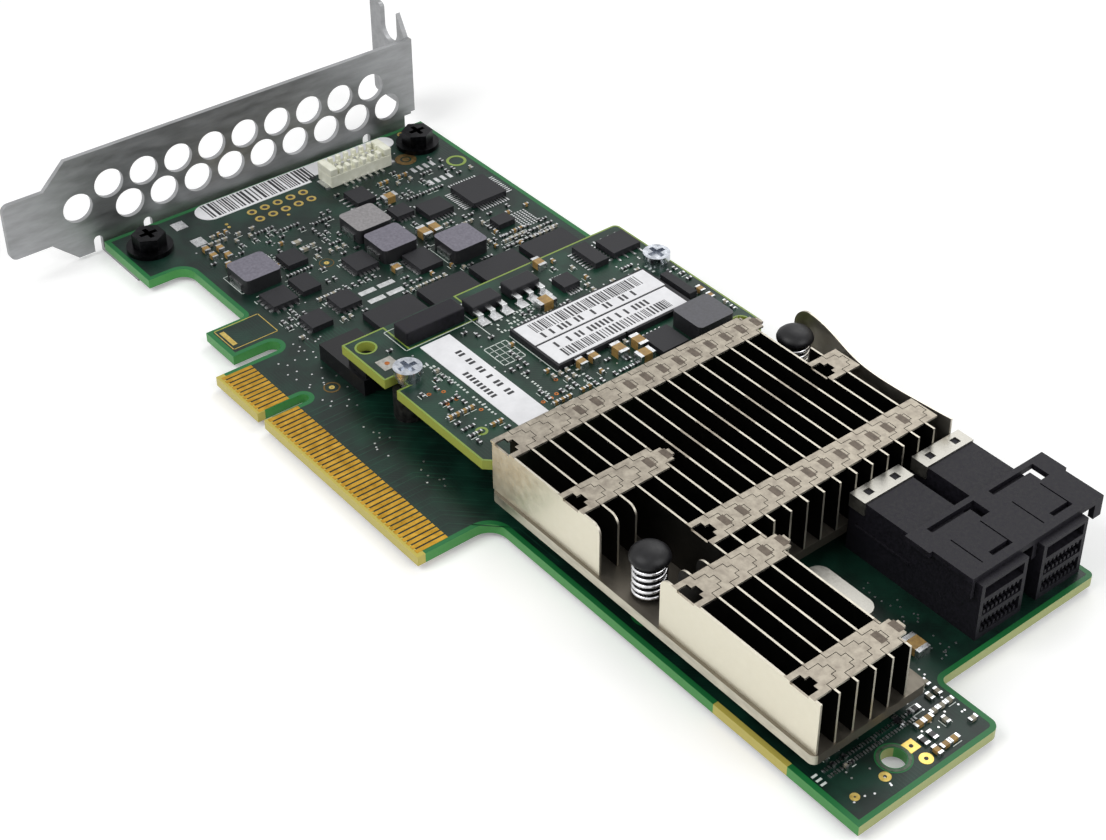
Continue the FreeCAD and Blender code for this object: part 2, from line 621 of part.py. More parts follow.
# Heat sink: base plate, zipped fins, rear sheet
base_top = "sink_low + sink_thickness"
sink = plate("heat_sink_plate", "XY_Plane", "sink_low", [
    ("sink_start", "sink_front", "inner_corner"), ("sink_end", "sink_front", "sink_corner"),
    ("sink_end", "sink_step_y", "sink_corner"), ("fin_main_end", "sink_step_y"),
    ("fin_main_end", "sink_back", "inner_corner"), ("sink_start", "sink_back", "inner_corner")],
    "sink_thickness",
    [("pin_low_x", "pin_low_y", "pin_hole_dia"), ("pin_high_x", "pin_high_y", "pin_hole_dia")])
node("heat_sink_base", [sink])


def fin_run(name, first, count, start, end, rows, passed=(), last=False, corner=None):
    """Fins of one length. Each has a flange at every zip row that hooks over
    the next fin with its tongue. Rows in passed only let a tongue through."""
    item = body(name)
    y = "fin_first + %d * fin_pitch" % first
    wall = new_sketch(item, name + "_wall", "XZ_Plane", "-(%s)" % y)
    outline = [(start, base_top), (end, base_top)]
    right = (end, "fin_top", "fin_corner") if corner == "end" else (end, "fin_top")
    left = (start, "fin_top", "fin_corner") if corner == "start" else (start, "fin_top")
    outline.append(right)
    open_half = "zip_tongue / 2 + zip_clearance"
    for centre in sorted(set(rows) | set(passed), key=value, reverse=True):
        floor = "fin_top - fin_thickness - zip_clearance"
        outline += [("%s + %s" % (centre, open_half), "fin_top"),
                    ("%s + %s" % (centre, open_half), floor),
                    ("%s - (%s)" % (centre, open_half), floor),
                    ("%s - (%s)" % (centre, open_half), "fin_top")]
    outline.append(left)
    draw_outline(wall, outline)
    features = [pad(item, wall, "fin_thickness", reverse=True)]
    reach = "rear_reach" if last else "fin_pitch - zip_clearance"
    flange = new_sketch(item, name + "_flanges", "XY_Plane", "fin_top - fin_thickness")
    for centre in rows:
        left_x = "%s - zip_width / 2" % centre
        right_x = "%s + zip_width / 2" % centre
        tongue = [] if last else [
            ("%s + zip_tongue / 2" % centre, y + " + " + reach),
            ("%s + zip_tongue / 2" % centre, y + " + fin_pitch + zip_tongue_reach"),
            ("%s + zip_tip / 2" % centre, y + " + fin_pitch + zip_tongue_reach"),
            ("%s + zip_tip / 2" % centre, y + " + fin_pitch + zip_tip_reach"),
            ("%s - zip_tip / 2" % centre, y + " + fin_pitch + zip_tip_reach"),
            ("%s - zip_tip / 2" % centre, y + " + fin_pitch + zip_tongue_reach"),
            ("%s - zip_tongue / 2" % centre, y + " + fin_pitch + zip_tongue_reach"),
            ("%s - zip_tongue / 2" % centre, y + " + " + reach)]
        tip_half = "zip_tip / 2 + zip_clearance"
        step_y = y + " + zip_tongue_reach + zip_clearance"
        deep_y = y + " + zip_tip_reach + zip_clearance"
        draw_outline(flange, [(right_x, y), (right_x, y + " + " + reach)] + tongue + [
            (left_x, y + " + " + reach), (left_x, y),
            ("%s - (%s)" % (centre, open_half), y),
            ("%s - (%s)" % (centre, open_half), step_y),
            ("%s - (%s)" % (centre, tip_half), step_y),
            ("%s - (%s)" % (centre, tip_half), deep_y),
            ("%s + %s" % (centre, tip_half), deep_y),
            ("%s + %s" % (centre, tip_half), step_y),
            ("%s + %s" % (centre, open_half), step_y),
            ("%s + %s" % (centre, open_half), y)])
    features.append(pad(item, flange, "fin_thickness"))
    if count > 1:
        pattern(item, name + "_run", features, flange, "V_Axis", str(count), "fin_pitch")
    node(name, [item])
    return item


fin_run("fins_front_left", 0, 3, "fin_start", "fin_gap_start", ["row_a", "row_b"], corner="end")
fin_run("fins_front_right", 0, 3, "fin_gap_end", "fin_front_end", ["row_e", "row_f"],
        corner="start")
fin_run("fins_cross", 3, 2, "fin_start", "fin_front_end",
        ["row_a", "row_b", "row_c", "row_e", "row_f"])
fin_run("fin_long", 5, 1, "fin_start", "fin_front_end", ["row_a", "row_c"],
        ["row_b", "row_e", "row_f"])
fin_run("fins_main", 6, 9, "fin_start", "fin_main_end", ["row_a", "row_c"])
fin_run("fin_pin_side", 15, 1, "fin_start", "fin_main_end", ["row_b", "row_c"], ["row_a"])
fin_run("fin_last", 16, 1, "fin_side_start", "fin_main_end", ["row_b", "row_c"], last=True)


def rear_sheet():
    """The curved sheet that closes the fins along the long edge."""
    stations = [("rear_start_x", "rear_start_y"), ("rear_bulge_x", "rear_bulge_y"),
                ("rear_waist_x", "rear_waist_y"), ("rear_bend_x", "rear_bend_y"),
                ("fin_main_end", "rear_end_y")]
    near, far = [], []
    for x, y in stations:
        near.append(FreeCAD.Vector(value(x), value(y), value(base_top)))
        far.append(FreeCAD.Vector(value(x), value(y + " + fin_thickness"), value(base_top)))
    curve_a, curve_b = Part.BSplineCurve(), Part.BSplineCurve()
    curve_a.interpolate(near)
    curve_b.interpolate(far)
    edges = [curve_a.toShape(), Part.makeLine(near[-1], far[-1]),
             curve_b.toShape(), Part.makeLine(far[0], near[0])]
    face = Part.Face(Part.Wire(Part.__sortEdges__(edges)))
    wall = face.extrude(FreeCAD.Vector(0, 0, value("fin_top - (%s)" % base_top)))
    radius = value("rear_corner")
    x, z = value("rear_start_x"), value("fin_top")
    trim = Part.makeBox(radius, 2 * radius, radius,
                        FreeCAD.Vector(x, value("rear_start_y") - radius, z - radius))
    round_end = Part.makeCylinder(radius, 2 * radius,
                                  FreeCAD.Vector(x + radius, value("rear_start_y") - radius,
                                                 z - radius), FreeCAD.Vector(0, 1, 0))
    wall = wall.cut(trim.cut(round_end))
    sheet = doc.addObject("Part::Feature", "rear_sheet")
    sheet.Shape = wall
    return sheet


node("fin_rear", [rear_sheet()])

pins, springs = [], []
cap_low = "pin_top - pin_cap_height"
for tag, x, y in (("low", "pin_low_x", "pin_low_y"), ("high", "pin_high_x", "pin_high_y")):
    cap = cylinder("pin_cap_" + tag, "pin_cap_dia", "pin_cap_height - pin_dome_height",
                   (x, y, cap_low))
    dome = doc.addObject("Part::Cone", "pin_dome_" + tag)
    bind(dome, Radius1="pin_cap_dia / 2", Radius2="pin_flat_dia / 2", Height="pin_dome_height")
    place(dome, (x, y, "pin_top - pin_dome_height"))
    shaft = cylinder("pin_shaft_" + tag, "pin_dia", cap_low + " - (%s)" % lug_z, (x, y, lug_z))
    barb = doc.addObject("Part::Cone", "pin_barb_" + tag)
    bind(barb, Radius1="pin_dia / 2", Radius2="pin_hole_dia / 2 + pin_barb_reach",
         Height="bracket_thickness - seat_gap")
    place(barb, (x, y, lug_z))
    pins.append(fuse("push_pin_" + tag, [cap, dome, shaft, barb]))
    helix = doc.addObject("Part::Helix", "spring_path_" + tag)
    bind(helix, Pitch="(%s - (%s) - spring_wire - seat_gap) / spring_turns" % (cap_low, base_top),
         Height="%s - (%s) - spring_wire - seat_gap" % (cap_low, base_top),
         Radius="(spring_dia - spring_wire) / 2")
    ring = doc.addObject("Part::RegularPolygon", "spring_wire_" + tag)
    bind(ring, Circumradius="spring_wire / 2", Polygon="spring_sides")
    ring.Placement.Rotation = FreeCAD.Rotation(FreeCAD.Vector(1, 0, 0), 90)
    bind(ring, Placement__Base__x="(spring_dia - spring_wire) / 2")
    coil = doc.addObject("Part::Sweep", "pin_spring_" + tag)
    coil.Sections = [ring]
    coil.Spine = (helix, ["Edge1"])
    coil.Solid = True
    coil.Frenet = True
    bind(coil, Placement__Base__x=x, Placement__Base__y=y,
         Placement__Base__z=base_top + " + spring_wire / 2 + seat_gap / 2")
    springs.append(coil)
node("push_pins", pins)
node("pin_springs", springs)

lid_height = "sink_low - chip_height - pad_thickness"
node("processor", [fuse("processor_package", [
    box_on("processor_base", ("chip_side", "chip_side", "chip_height"), ("chip_x", "chip_y"), "0"),
    box_on("processor_lid", ("lid_side", "lid_side", lid_height), ("chip_x", "chip_y"),
           "chip_height")])])
node("thermal_pad", [box_on("thermal_pad_sheet", ("lid_side", "lid_side", "pad_thickness"),
                            ("chip_x", "chip_y"), "sink_low - pad_thickness")])

# Drive connectors: shells with a hood and two toothed slots, clips, shared latch
shells, teeth, clips = [], [], []
for index in range(2):
    y = "port_low_y + %d * port_pitch" % index
    outer = box_on("port_block_%d" % index, ("port_end - port_start", "port_width", "port_height"),
                   ("(port_start + port_end) / 2", y), "0")
    inside = y + " - port_width / 2 + port_wall"
    hollows = [box("port_hood_%d" % index,
                   ("port_depth", "port_width - 2 * port_wall", "hood_height"),
                   ("port_end - port_depth", inside, "hood_low"))]
    tooth_y = y + " - (tooth_count - 1) * tooth_pitch / 2"
    tooth_size = ("port_depth - tooth_setback", "tooth_width", "tooth_height")
    tooth_x = "port_end - (port_depth + tooth_setback) / 2"
    for level in range(2):
        z = "slot_first + %d * slot_pitch" % level
        hollows.append(box("port_slot_%d_%d" % (index, level),
                           ("port_depth", "port_width - 2 * port_wall", "slot_tall"),
                           ("port_end - port_depth", inside, z)))
        teeth.append(row("port_teeth_low_%d_%d" % (index, level), tooth_size, (tooth_x, tooth_y),
                         z, "V_Axis", "tooth_count", "tooth_pitch"))
        teeth.append(row("port_teeth_high_%d_%d" % (index, level), tooth_size,
                         (tooth_x, tooth_y), z + " + slot_tall - tooth_height", "V_Axis",
                         "tooth_count", "tooth_pitch"))
    rib = box("port_rib_%d" % index, ("rib_length", "rib_depth", "rib_height"),
              ("port_start + clip_length / 2", y + " - port_width / 2 - rib_depth", "rib_low"))
    shells.append(fuse("port_shell_%d" % index,
                       [cut("port_hollow_%d" % index, outer, hollows), rib]))
    top = box_on("clip_top_%d" % index,
                 ("clip_length", "port_width + 2 * clip_thickness", "clip_thickness"),
                 ("port_start + clip_length / 2", y), "port_height")
    legs = [box("clip_leg_%d_%s" % (index, side), ("clip_length", "clip_thickness", "clip_drop"),
                ("port_start", edge, "port_height - clip_drop"))
            for side, edge in (("near", y + " - port_width / 2 - clip_thickness"),
                               ("far", y + " + port_width / 2"))]
    holes = [box_on("clip_hole_%d_%s" % (index, side),
                    ("clip_hole", "clip_hole", "clip_thickness"),
                    ("port_start + clip_length / 2", spot), "port_height")
             for side, spot in (("near", y + " - clip_hole_spread / 2"),
                                ("far", y + " + clip_hole_spread / 2"))]
    clips.append(cut("port_clip_%d" % index, fuse("clip_sheet_%d" % index, [top] + legs), holes))
node("drive_port_shells", shells)
node("drive_port_contacts", teeth)
node("drive_port_clips", clips)

latch_step = "latch_start + latch_shoulder"
low_y = "latch_low_y"
high_y = "latch_high_y"
latch = plate("latch_plate", "XY_Plane", "port_height", [
    ("latch_start", low_y), (latch_step, low_y), (latch_step, low_y + " + latch_inset"),
    ("latch_end", low_y + " + latch_inset"), ("latch_end", high_y + " - latch_inset"),
    (latch_step, high_y + " - latch_inset"), (latch_step, high_y), ("latch_start", high_y)],
    "latch_thickness")
windows = new_sketch(latch, "latch_windows", "XY_Plane", "port_height")
for index in range(2):
    y = "port_low_y + %d * port_pitch" % index
    near = "latch_start + slot_near"
    draw_outline(windows, [
        (near, y + " - slot_low"), (near + " + slot_width", y + " - slot_low"),
        (near + " + slot_width", y + " + slot_high - slot_arm"),
        ("latch_start + slot_reach", y + " + slot_high - slot_arm"),
        ("latch_start + slot_reach", y + " + slot_high"), (near, y + " + slot_high")])
    cut_x = "latch_start + cut_near"
    draw_outline(windows, [
        (cut_x, y + " + cut_low"), (cut_x + " + cut_width", y + " + cut_low"),
        (cut_x + " + cut_width", y + " + groove_high"),
        (cut_x + " + cut_width - groove_far + groove_near", y + " + groove_high"),
        (cut_x + " + cut_width - groove_far + groove_near", y + " + groove_high - groove_width"),
        (cut_x, y + " + groove_high - groove_width")])
    draw_outline(windows, [
        ("latch_start + groove_near", y + " - groove_low - groove_width"),
        ("latch_start + groove_far", y + " - groove_low - groove_width"),
        ("latch_start + groove_far", y + " - groove_low"),
        ("latch_start + groove_near", y + " - groove_low")])
window_cut = latch.newObject("PartDesign::Pocket", "latch_window_cut")
window_cut.Profile = windows
bind(window_cut, Length="latch_thickness")
window_cut.Reversed = True
latch.Tip = window_cut
lips = []
for tag, y, width in (("near", low_y + " + latch_inset", "lip_width"),
                      ("mid", "lip_mid_y - lip_mid_width / 2", "lip_mid_width"),
                      ("far", high_y + " - latch_inset - lip_end_width", "lip_end_width")):
    lips.append(box("latch_lip_" + tag, ("lip_length", width, "lip_drop"),
                    ("latch_end - lip_length", y, "port_height - lip_drop")))
node("drive_port_latch", [fuse("latch_sheet", [latch] + lips)])


# Power chokes, their feet, and the large choke on the daughter board
def choke(name):
    return rounded(name, ("choke_length", "choke_width"), (name + "_x", name + "_y"), "0",
                   "choke_height", "choke_corner")


def feet(name):
    return [box_on("%s_foot_%d" % (name, side),
                   ("choke_foot_width", "choke_foot", "choke_height / 2"),
                   (name + "_x", "%s_y + %d * (choke_width / 2 + choke_foot / 2)" % (name, side)),
                   "0")
            for side in (-1, 1)]


def middle(name):
    """The middle of a piece that has its own place in the sheet."""
    return (name + "_x + %s_length / 2" % name, name + "_y + %s_width / 2" % name)


node("power_chokes", [choke("choke_a"), choke("choke_b"), choke("choke_c")])
node("light_choke", [choke("choke_d")])
node("choke_feet", [foot for name in ("choke_a", "choke_b", "choke_c", "choke_d")
                    for foot in feet(name)])
node("daughter_choke", [rounded("choke_big", ("choke_big_length", "choke_big_width"),
                                middle("choke_big"), deck_top, "big_choke_height",
                                "choke_corner")])

# Leaded packages on the main board
node("quad_package", [rounded("quad_body", ("quad_side", "quad_side"), ("quad_x", "quad_y"),
                              "seat_gap", "quad_height", "quad_lead")])
lead_length = "(quad_span - quad_side) / 2"
lead_offset = "(quad_span + quad_side) / 4"
lead_start = "(quad_leads - 1) * quad_pitch / 2"
quad_rows = []
for side in (-1, 1):
    quad_rows.append(row("quad_leads_x%d" % (side + 1), ("quad_lead", lead_length, "lead_thickness"),
                         ("quad_x - " + lead_start, "quad_y + %d * %s" % (side, lead_offset)),
                         "0", "H_Axis", "quad_leads", "quad_pitch"))
    quad_rows.append(row("quad_leads_y%d" % (side + 1), (lead_length, "quad_lead", "lead_thickness"),
                         ("quad_x + %d * %s" % (side, lead_offset), "quad_y - " + lead_start),
                         "0", "V_Axis", "quad_leads", "quad_pitch"))
node("quad_leads", quad_rows)


def chip(name, base, height):
    """A flat package with its own place in the sheet."""
    return box(name, (name + "_length", name + "_width", height), (name + "_x", name + "_y", base))


# Memory column, partly under the daughter board
memory = []
for index in range(4):
    memory.append(box_on("memory_%d" % index, ("memory_width", "memory_length", "memory_height"),
                         ("memory_x", "memory_y + %d * memory_pitch" % index), "0"))
node("memory_chips", memory)


def lead_row(name, side, count, size, base, reach="lead_reach"):
    """Leads or pads along one side of a package. They reach a little past it."""
    x, y = middle(name)
    step = "(%s_%s - %s) / (%d - 1)" % (name, "width" if side in ("left", "right") else "length",
                                        "lead_inset", count)
    if side in ("left", "right"):
        edge = name + "_x" + (" + %s_length" % name if side == "right" else "")
        out = "%s %s %s / 2" % (edge, "+" if side == "right" else "-", reach)
        return row("%s_%s" % (name, side), (reach, size, "lead_thickness"),
                   (out, name + "_y + lead_inset / 2"), base, "V_Axis", str(count), step)
    edge = name + "_y" + (" + %s_width" % name if side == "top" else "")
    out = "%s %s %s / 2" % (edge, "+" if side == "top" else "-", reach)
    return row("%s_%s" % (name, side), (size, reach, "lead_thickness"),
               (name + "_x + lead_inset / 2", out), base, "H_Axis", str(count), step)


# Flat power and logic packages: the pads show beside the body
drivers = ["driver_a", "driver_b", "driver_c", "driver_d", "driver_e", "driver_f", "driver_h",
           "driver_i", "driver_j"]
node("driver_chips", [chip(name, "0", "driver_height") for name in drivers])
pads = [("driver_a", "left", 4), ("driver_b", "low", 6), ("driver_b", "right", 5),
        ("driver_d", "right", 4), ("driver_d", "low", 4), ("driver_e", "right", 4),
        ("driver_e", "low", 4), ("driver_f", "low", 4), ("driver_h", "right", 4),
        ("driver_i", "low", 7)]
node("driver_pads", [lead_row(name, side, count, "pad_width", "0", "pad_reach")
                     for name, side, count in pads])

outlines = [("logic", "0"), ("gate", "0"), ("flash", deck_top), ("sense", deck_top),
            ("clock", deck_top), ("monitor", deck_top), ("power", deck_top)]
node("outline_chips", [chip(name, "%s + seat_gap" % base, "outline_height")
                       for name, base in outlines])
pairs = [("logic", ("left", "right"), 7, "0"), ("gate", ("low", "top"), 4, "0"),
         ("flash", ("left", "right"), 4, deck_top), ("sense", ("low", "top"), 8, deck_top),
         ("clock", ("top",), 9, deck_top), ("monitor", ("left", "right"), 5, deck_top),
         ("power", ("left", "right"), 6, deck_top)]
node("outline_leads", [lead_row(name, side, count, "lead_width", base,
                                "pad_reach" if name == "clock" else "lead_reach")
                       for name, sides, count, base in pairs for side in sides])

# Cache packages side by side under their two paper labels
cache = []
for i in range(2):
    y = "cache_low + cache_width / 2 + %d * (cache_width + cache_gap)" % i
    cache.append(box_on("cache_%d" % i, ("cache_length", "cache_width", "cache_height"),
                        ("cache_start + cache_length / 2", y), deck_top))
node("cache_chips", cache)

# Three-lead power packages on the daughter board
bodies, tabs, leads = [], [], []
for index in range(2):
    y = "transistor_y + %d * transistor_step" % index
    bodies.append(box_on("transistor_body_%d" % index,
                         ("transistor_length", "transistor_width", "transistor_height"),
                         ("transistor_x", y), deck_top))
    tabs.append(box("transistor_tab_%d" % index,
                    ("transistor_tab", "transistor_width - transistor_shoulder",
                     "transistor_lead_height"),
                    ("transistor_x - transistor_length / 2 - transistor_tab",
                     y + " - (transistor_width - transistor_shoulder) / 2", deck_top)))
    leads.append(row("transistor_leads_%d" % index,
                     ("transistor_reach", "transistor_lead", "transistor_lead_height"),
                     ("transistor_x + (transistor_length + transistor_reach) / 2",
                      y + " - transistor_pitch"), deck_top, "V_Axis", "3", "transistor_pitch"))
node("power_transistors", bodies)
node("transistor_tabs", tabs)
node("transistor_leads", leads)

# Crystal can with its rim
node("crystal_can", [fuse("crystal_shell", [
    rounded("crystal_base", ("crystal_length + crystal_rim", "crystal_width + crystal_rim"),
            ("crystal_x", "crystal_y"), "seat_gap", "crystal_rim", "crystal_width / 2"),
    rounded("crystal_cap", ("crystal_length", "crystal_width"), ("crystal_x", "crystal_y"),
            "seat_gap + crystal_rim", "crystal_height - crystal_rim",
            "crystal_width / 2 - crystal_rim")])])

# Header for the battery lead: open box, pins, feet and holding tabs
header_end = "header_x + header_depth"
header_far = "header_y + header_length"
header = plate("header_block", "XY_Plane", "0", [
    ("header_x", "header_y", "header_corner"), (header_end, "header_y"), (header_end, header_far),
    ("header_x", header_far, "header_corner")], "header_height")
well = new_sketch(header, "header_well", "XY_Plane", "header_floor")
draw_outline(well, [
    ("header_x + header_wall", "header_y + header_wall"),
    (header_end + " - header_wall", "header_y + header_wall"),
    (header_end + " - header_wall", header_far + " - header_wall"),
    ("header_x + header_wall", header_far + " - header_wall")])
well_cut = header.newObject("PartDesign::Pocket", "header_well_cut")
well_cut.Profile = well
bind(well_cut, Length="header_height - header_floor")
well_cut.Reversed = True
header.Tip = well_cut
node("battery_header", [header])
first_pin = "header_y + (header_length - (header_pins - 1) * header_pitch) / 2"
node("header_pins", [
    row("header_posts", ("header_pin_width", "header_pin_width", "header_pin_height"),
        ("header_x + header_depth / 2", first_pin), "header_floor", "V_Axis",
        "header_pins", "header_pitch"),
    row("header_feet", ("header_foot", "header_pin_width", "header_tab_height"),
        (header_end + " + header_foot / 2", first_pin), "0", "V_Axis", "header_pins",
        "header_pitch"),
    box("header_tab_low", ("header_tab", "header_tab_reach", "header_tab_height"),
        ("header_x + header_tab_reach", "header_y - header_tab_reach", "0")),
    box("header_tab_high", ("header_tab", "header_tab_reach", "header_tab_height"),
        ("header_x + header_tab_reach", header_far, "0"))])

# Stacking connector between the boards
node("stack_socket", [box("link_socket", ("link_length", "link_width", "link_height"),
                          ("link_x", "link_y", "0"))])
node("stack_plug", [box("link_plug",
                        ("link_x + link_length - daughter_start - link_plug_inset / 2",
                         "link_width - link_plug_inset", "stack_height - link_height"),
                        ("daughter_start + link_plug_inset / 4", "link_y + link_plug_inset / 2",
                         "link_height"))])


# Ceramic capacitors: a body between two metal ends
def capacitor(name, base):
    """Body and end caps, lying along the piece's longer side."""
    across = value(name + "_width") > value(name + "_length")
    x, y, height = name + "_x", name + "_y", name + "_height"
    long_side = name + ("_width" if across else "_length")
    cap = "%s * cap_share" % long_side
    core = "%s * (1 - 2 * cap_share)" % long_side
    if across:
        sizes = [(name + "_length", core), (name + "_length", cap), (name + "_length", cap)]
        spots = [(x, "%s + %s" % (y, cap)), (x, y), (x, "%s + %s - %s" % (y, long_side, cap))]
    else:
        sizes = [(core, name + "_width"), (cap, name + "_width"), (cap, name + "_width")]
        spots = [("%s + %s" % (x, cap), y), (x, y), ("%s + %s - %s" % (x, long_side, cap), y)]
    made = [box("%s_part_%d" % (name, i), size + (height,), spot + (base,))
            for i, (size, spot) in enumerate(zip(sizes, spots))]
    return made[0], made[1:]


cores, ends = [], []
for title, base in (("Capacitors", "0"), ("Daughter capacitors", deck_top)):
    for name in PLACES[title]:
        core, caps = capacitor(name, base)
        cores.append(core)
        ends += caps
node("ceramic_capacitors", cores)
node("capacitor_ends", ends)

# Labels without print
label = "label_thickness"
strip_end = "board_label_y + board_label_width"
neck_x = "board_label_x + label_neck_x"
neck_y = "board_label_y + label_neck_y"
strip = plate("label_strip", "XY_Plane", "0", [
    ("board_label_x", "board_label_y", "board_label_length / 2"),
    ("board_label_x + board_label_length", "board_label_y", "board_label_length / 2"),
    ("board_label_x + board_label_length", neck_y), (neck_x, neck_y),
    (neck_x, strip_end, "label_neck_x / 2"), ("board_label_x", strip_end, "label_neck_x / 2")],
    label)
node("board_label", [strip])
node("deck_label", [box("label_deck", ("deck_label_length", "deck_label_width", label),
                        ("deck_label_x", "deck_label_y", deck_top))])
half = "(cache_length - 3 * cache_gap) / 2"
node("cache_labels", [
    box("label_cache_%d" % index,
        (half, "2 * cache_width - cache_gap - %d * cache_gap" % index, label),
        ("cache_start + cache_gap + %d * (%s + cache_gap)" % (index, half),
         "cache_low + cache_gap", deck_top + " + cache_height"))
    for index in range(2)])

node("plated_rings", [tube("mount_ring", "mount_hole_dia + 4 * ring_margin",
                           "mount_hole_dia + ring_margin", "ring_thickness",
                           ("mount_hole_x", "mount_hole_y", "0"))])


def finish(items):
    """Recompute, check every object, then write each node as its own file."""
    doc.recompute()
    for obj in doc.Objects:
        if "Invalid" in obj.State or "Error" in obj.State:
            raise RuntimeError("object %s does not compute: %s" % (obj.Name, obj.getStatusString()))
    os.makedirs("parts", exist_ok=True)
    for label, item in items:
        shape = item.Shape
        if shape.isNull() or not shape.isValid():
            raise RuntimeError("shape of %s is not usable" % label)
        shape.exportStep("parts/%s.step" % label)


finish(nodes)
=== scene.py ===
# %% [markdown]
# A RAID controller card is a printed circuit board with a slot bracket, a stacked
# cache board, a finned heat sink and two drive connectors. The solids come from
# the CAD frame. This notebook gives them their finishes and adds what is too fine
# for the solids: bare rims, plated dots, chip parts, printed marks, pins, springs.

# %% Load the frame
import math
import random
import bmesh
import bpy
from mathutils import Matrix, Vector
from mathutils.bvhtree import BVHTree


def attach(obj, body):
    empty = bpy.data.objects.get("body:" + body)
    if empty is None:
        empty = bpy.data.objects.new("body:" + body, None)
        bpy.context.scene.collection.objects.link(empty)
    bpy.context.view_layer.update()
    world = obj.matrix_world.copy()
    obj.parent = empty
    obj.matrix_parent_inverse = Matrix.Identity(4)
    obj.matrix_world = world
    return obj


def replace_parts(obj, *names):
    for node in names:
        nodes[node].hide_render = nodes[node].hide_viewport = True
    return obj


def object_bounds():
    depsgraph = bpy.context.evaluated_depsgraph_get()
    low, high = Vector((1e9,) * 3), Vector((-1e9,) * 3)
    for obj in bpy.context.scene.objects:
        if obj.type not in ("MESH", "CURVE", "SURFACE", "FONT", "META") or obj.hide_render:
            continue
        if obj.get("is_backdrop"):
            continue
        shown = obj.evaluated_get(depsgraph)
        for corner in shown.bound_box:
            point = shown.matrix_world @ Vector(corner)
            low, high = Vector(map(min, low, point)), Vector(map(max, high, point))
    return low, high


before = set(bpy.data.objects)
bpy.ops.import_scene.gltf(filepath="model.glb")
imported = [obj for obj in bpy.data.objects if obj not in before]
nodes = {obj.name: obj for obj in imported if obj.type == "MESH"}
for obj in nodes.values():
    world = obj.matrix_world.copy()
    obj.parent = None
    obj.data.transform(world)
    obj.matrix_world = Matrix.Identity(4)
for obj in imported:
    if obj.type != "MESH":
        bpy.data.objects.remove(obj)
cad_low, cad_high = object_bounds()
print("CAD box in metres", tuple(cad_low), tuple(cad_high))

# %% [markdown]
# Sizes are easier to read in millimetres, while the frame is in metres. One small
# function turns millimetres to metres, and another turns a colour written in hex,
# as a paint program shows it, to the linear values that the renderer adds up.

# %% Units and colours
def mm(value):
    return value / 1000.0


def linear(hex_colour):
    channels = [int(hex_colour[i:i + 2], 16) / 255 for i in (1, 3, 5)]
    return [c / 12.92 if c <= 0.04045 else ((c + 0.055) / 1.055) ** 2.4 for c in channels] + [1.0]


print("mid grey is", round(linear("#808080")[0], 3))

# %% [markdown]
# Every finish is a tree of nodes that ends in one Principled shader. One function
# adds any node, sets its properties and inputs, and wires sockets given as a pair
# of (node, output name). A second one starts a new finish with its shader.

# %% Node helpers
def add_node(tree, kind, props=None, **inputs):
    node = tree.nodes.new("ShaderNode" + kind)
    for key, setting in (props or {}).items():
        setattr(node, key, setting)
    for key, source in inputs.items():
        numbered = key[0] == "i" and key[1:].isdigit()
        socket = node.inputs[int(key[1:])] if numbered else node.inputs[key.replace("_", " ")]
        if isinstance(source, tuple) and hasattr(source[0], "outputs"):
            tree.links.new(source[0].outputs[source[1]], socket)
        else:
            socket.default_value = source
    return node


def new_finish(name, colour, metallic, roughness, **sockets):
    material = bpy.data.materials.new(name)
    material.use_nodes = True
    tree = material.node_tree
    shader = tree.nodes["Principled BSDF"]
    shader.inputs["Base Color"].default_value = linear(colour)
    shader.inputs["Metallic"].default_value = metallic
    shader.inputs["Roughness"].default_value = roughness
    for key, setting in sockets.items():
        shader.inputs[key.replace("_", " ")].default_value = setting
    return material, tree, shader


def object_coords(tree, stretch=(1, 1, 1)):
    """Object coordinates in millimetres, stretched along each axis."""
    place = add_node(tree, "TexCoord")
    return add_node(tree, "Mapping", Vector=(place, "Object"), Scale=[1000 * s for s in stretch])


def blend(tree, factor, colour_a, colour_b):
    """A mix of two colours, each a hex text or a node's output."""
    pair = [linear(c) if isinstance(c, str) else c for c in (colour_a, colour_b)]
    return add_node(tree, "Mix", {"data_type": "RGBA"}, i0=factor, i6=pair[0], i7=pair[1]), 2


def over(tree, source, limit):
    """One where the source is over the limit, and zero elsewhere."""
    return add_node(tree, "Math", {"operation": "GREATER_THAN"}, i0=source, i1=limit), "Value"


def both(tree, first, second):
    """The product, which is one where both are one."""
    return add_node(tree, "Math", {"operation": "MULTIPLY"}, i0=first, i1=second), "Value"


def larger(tree, first, second):
    return add_node(tree, "Math", {"operation": "MAXIMUM"}, i0=first, i1=second), "Value"


def shown_rays(tree):
    """One for the rays that end in the picture, straight or through a reflection."""
    path = add_node(tree, "LightPath")
    seen = larger(tree, (path, "Is Camera Ray"), (path, "Is Glossy Ray"))
    return larger(tree, seen, (path, "Is Transmission Ray"))


def facing(tree):
    """The three parts of the way that the surface faces, without their signs."""
    shape = add_node(tree, "NewGeometry")
    size = add_node(tree, "VectorMath", {"operation": "ABSOLUTE"}, i0=(shape, "Normal"))
    return add_node(tree, "SeparateXYZ", Vector=(size, "Vector"))


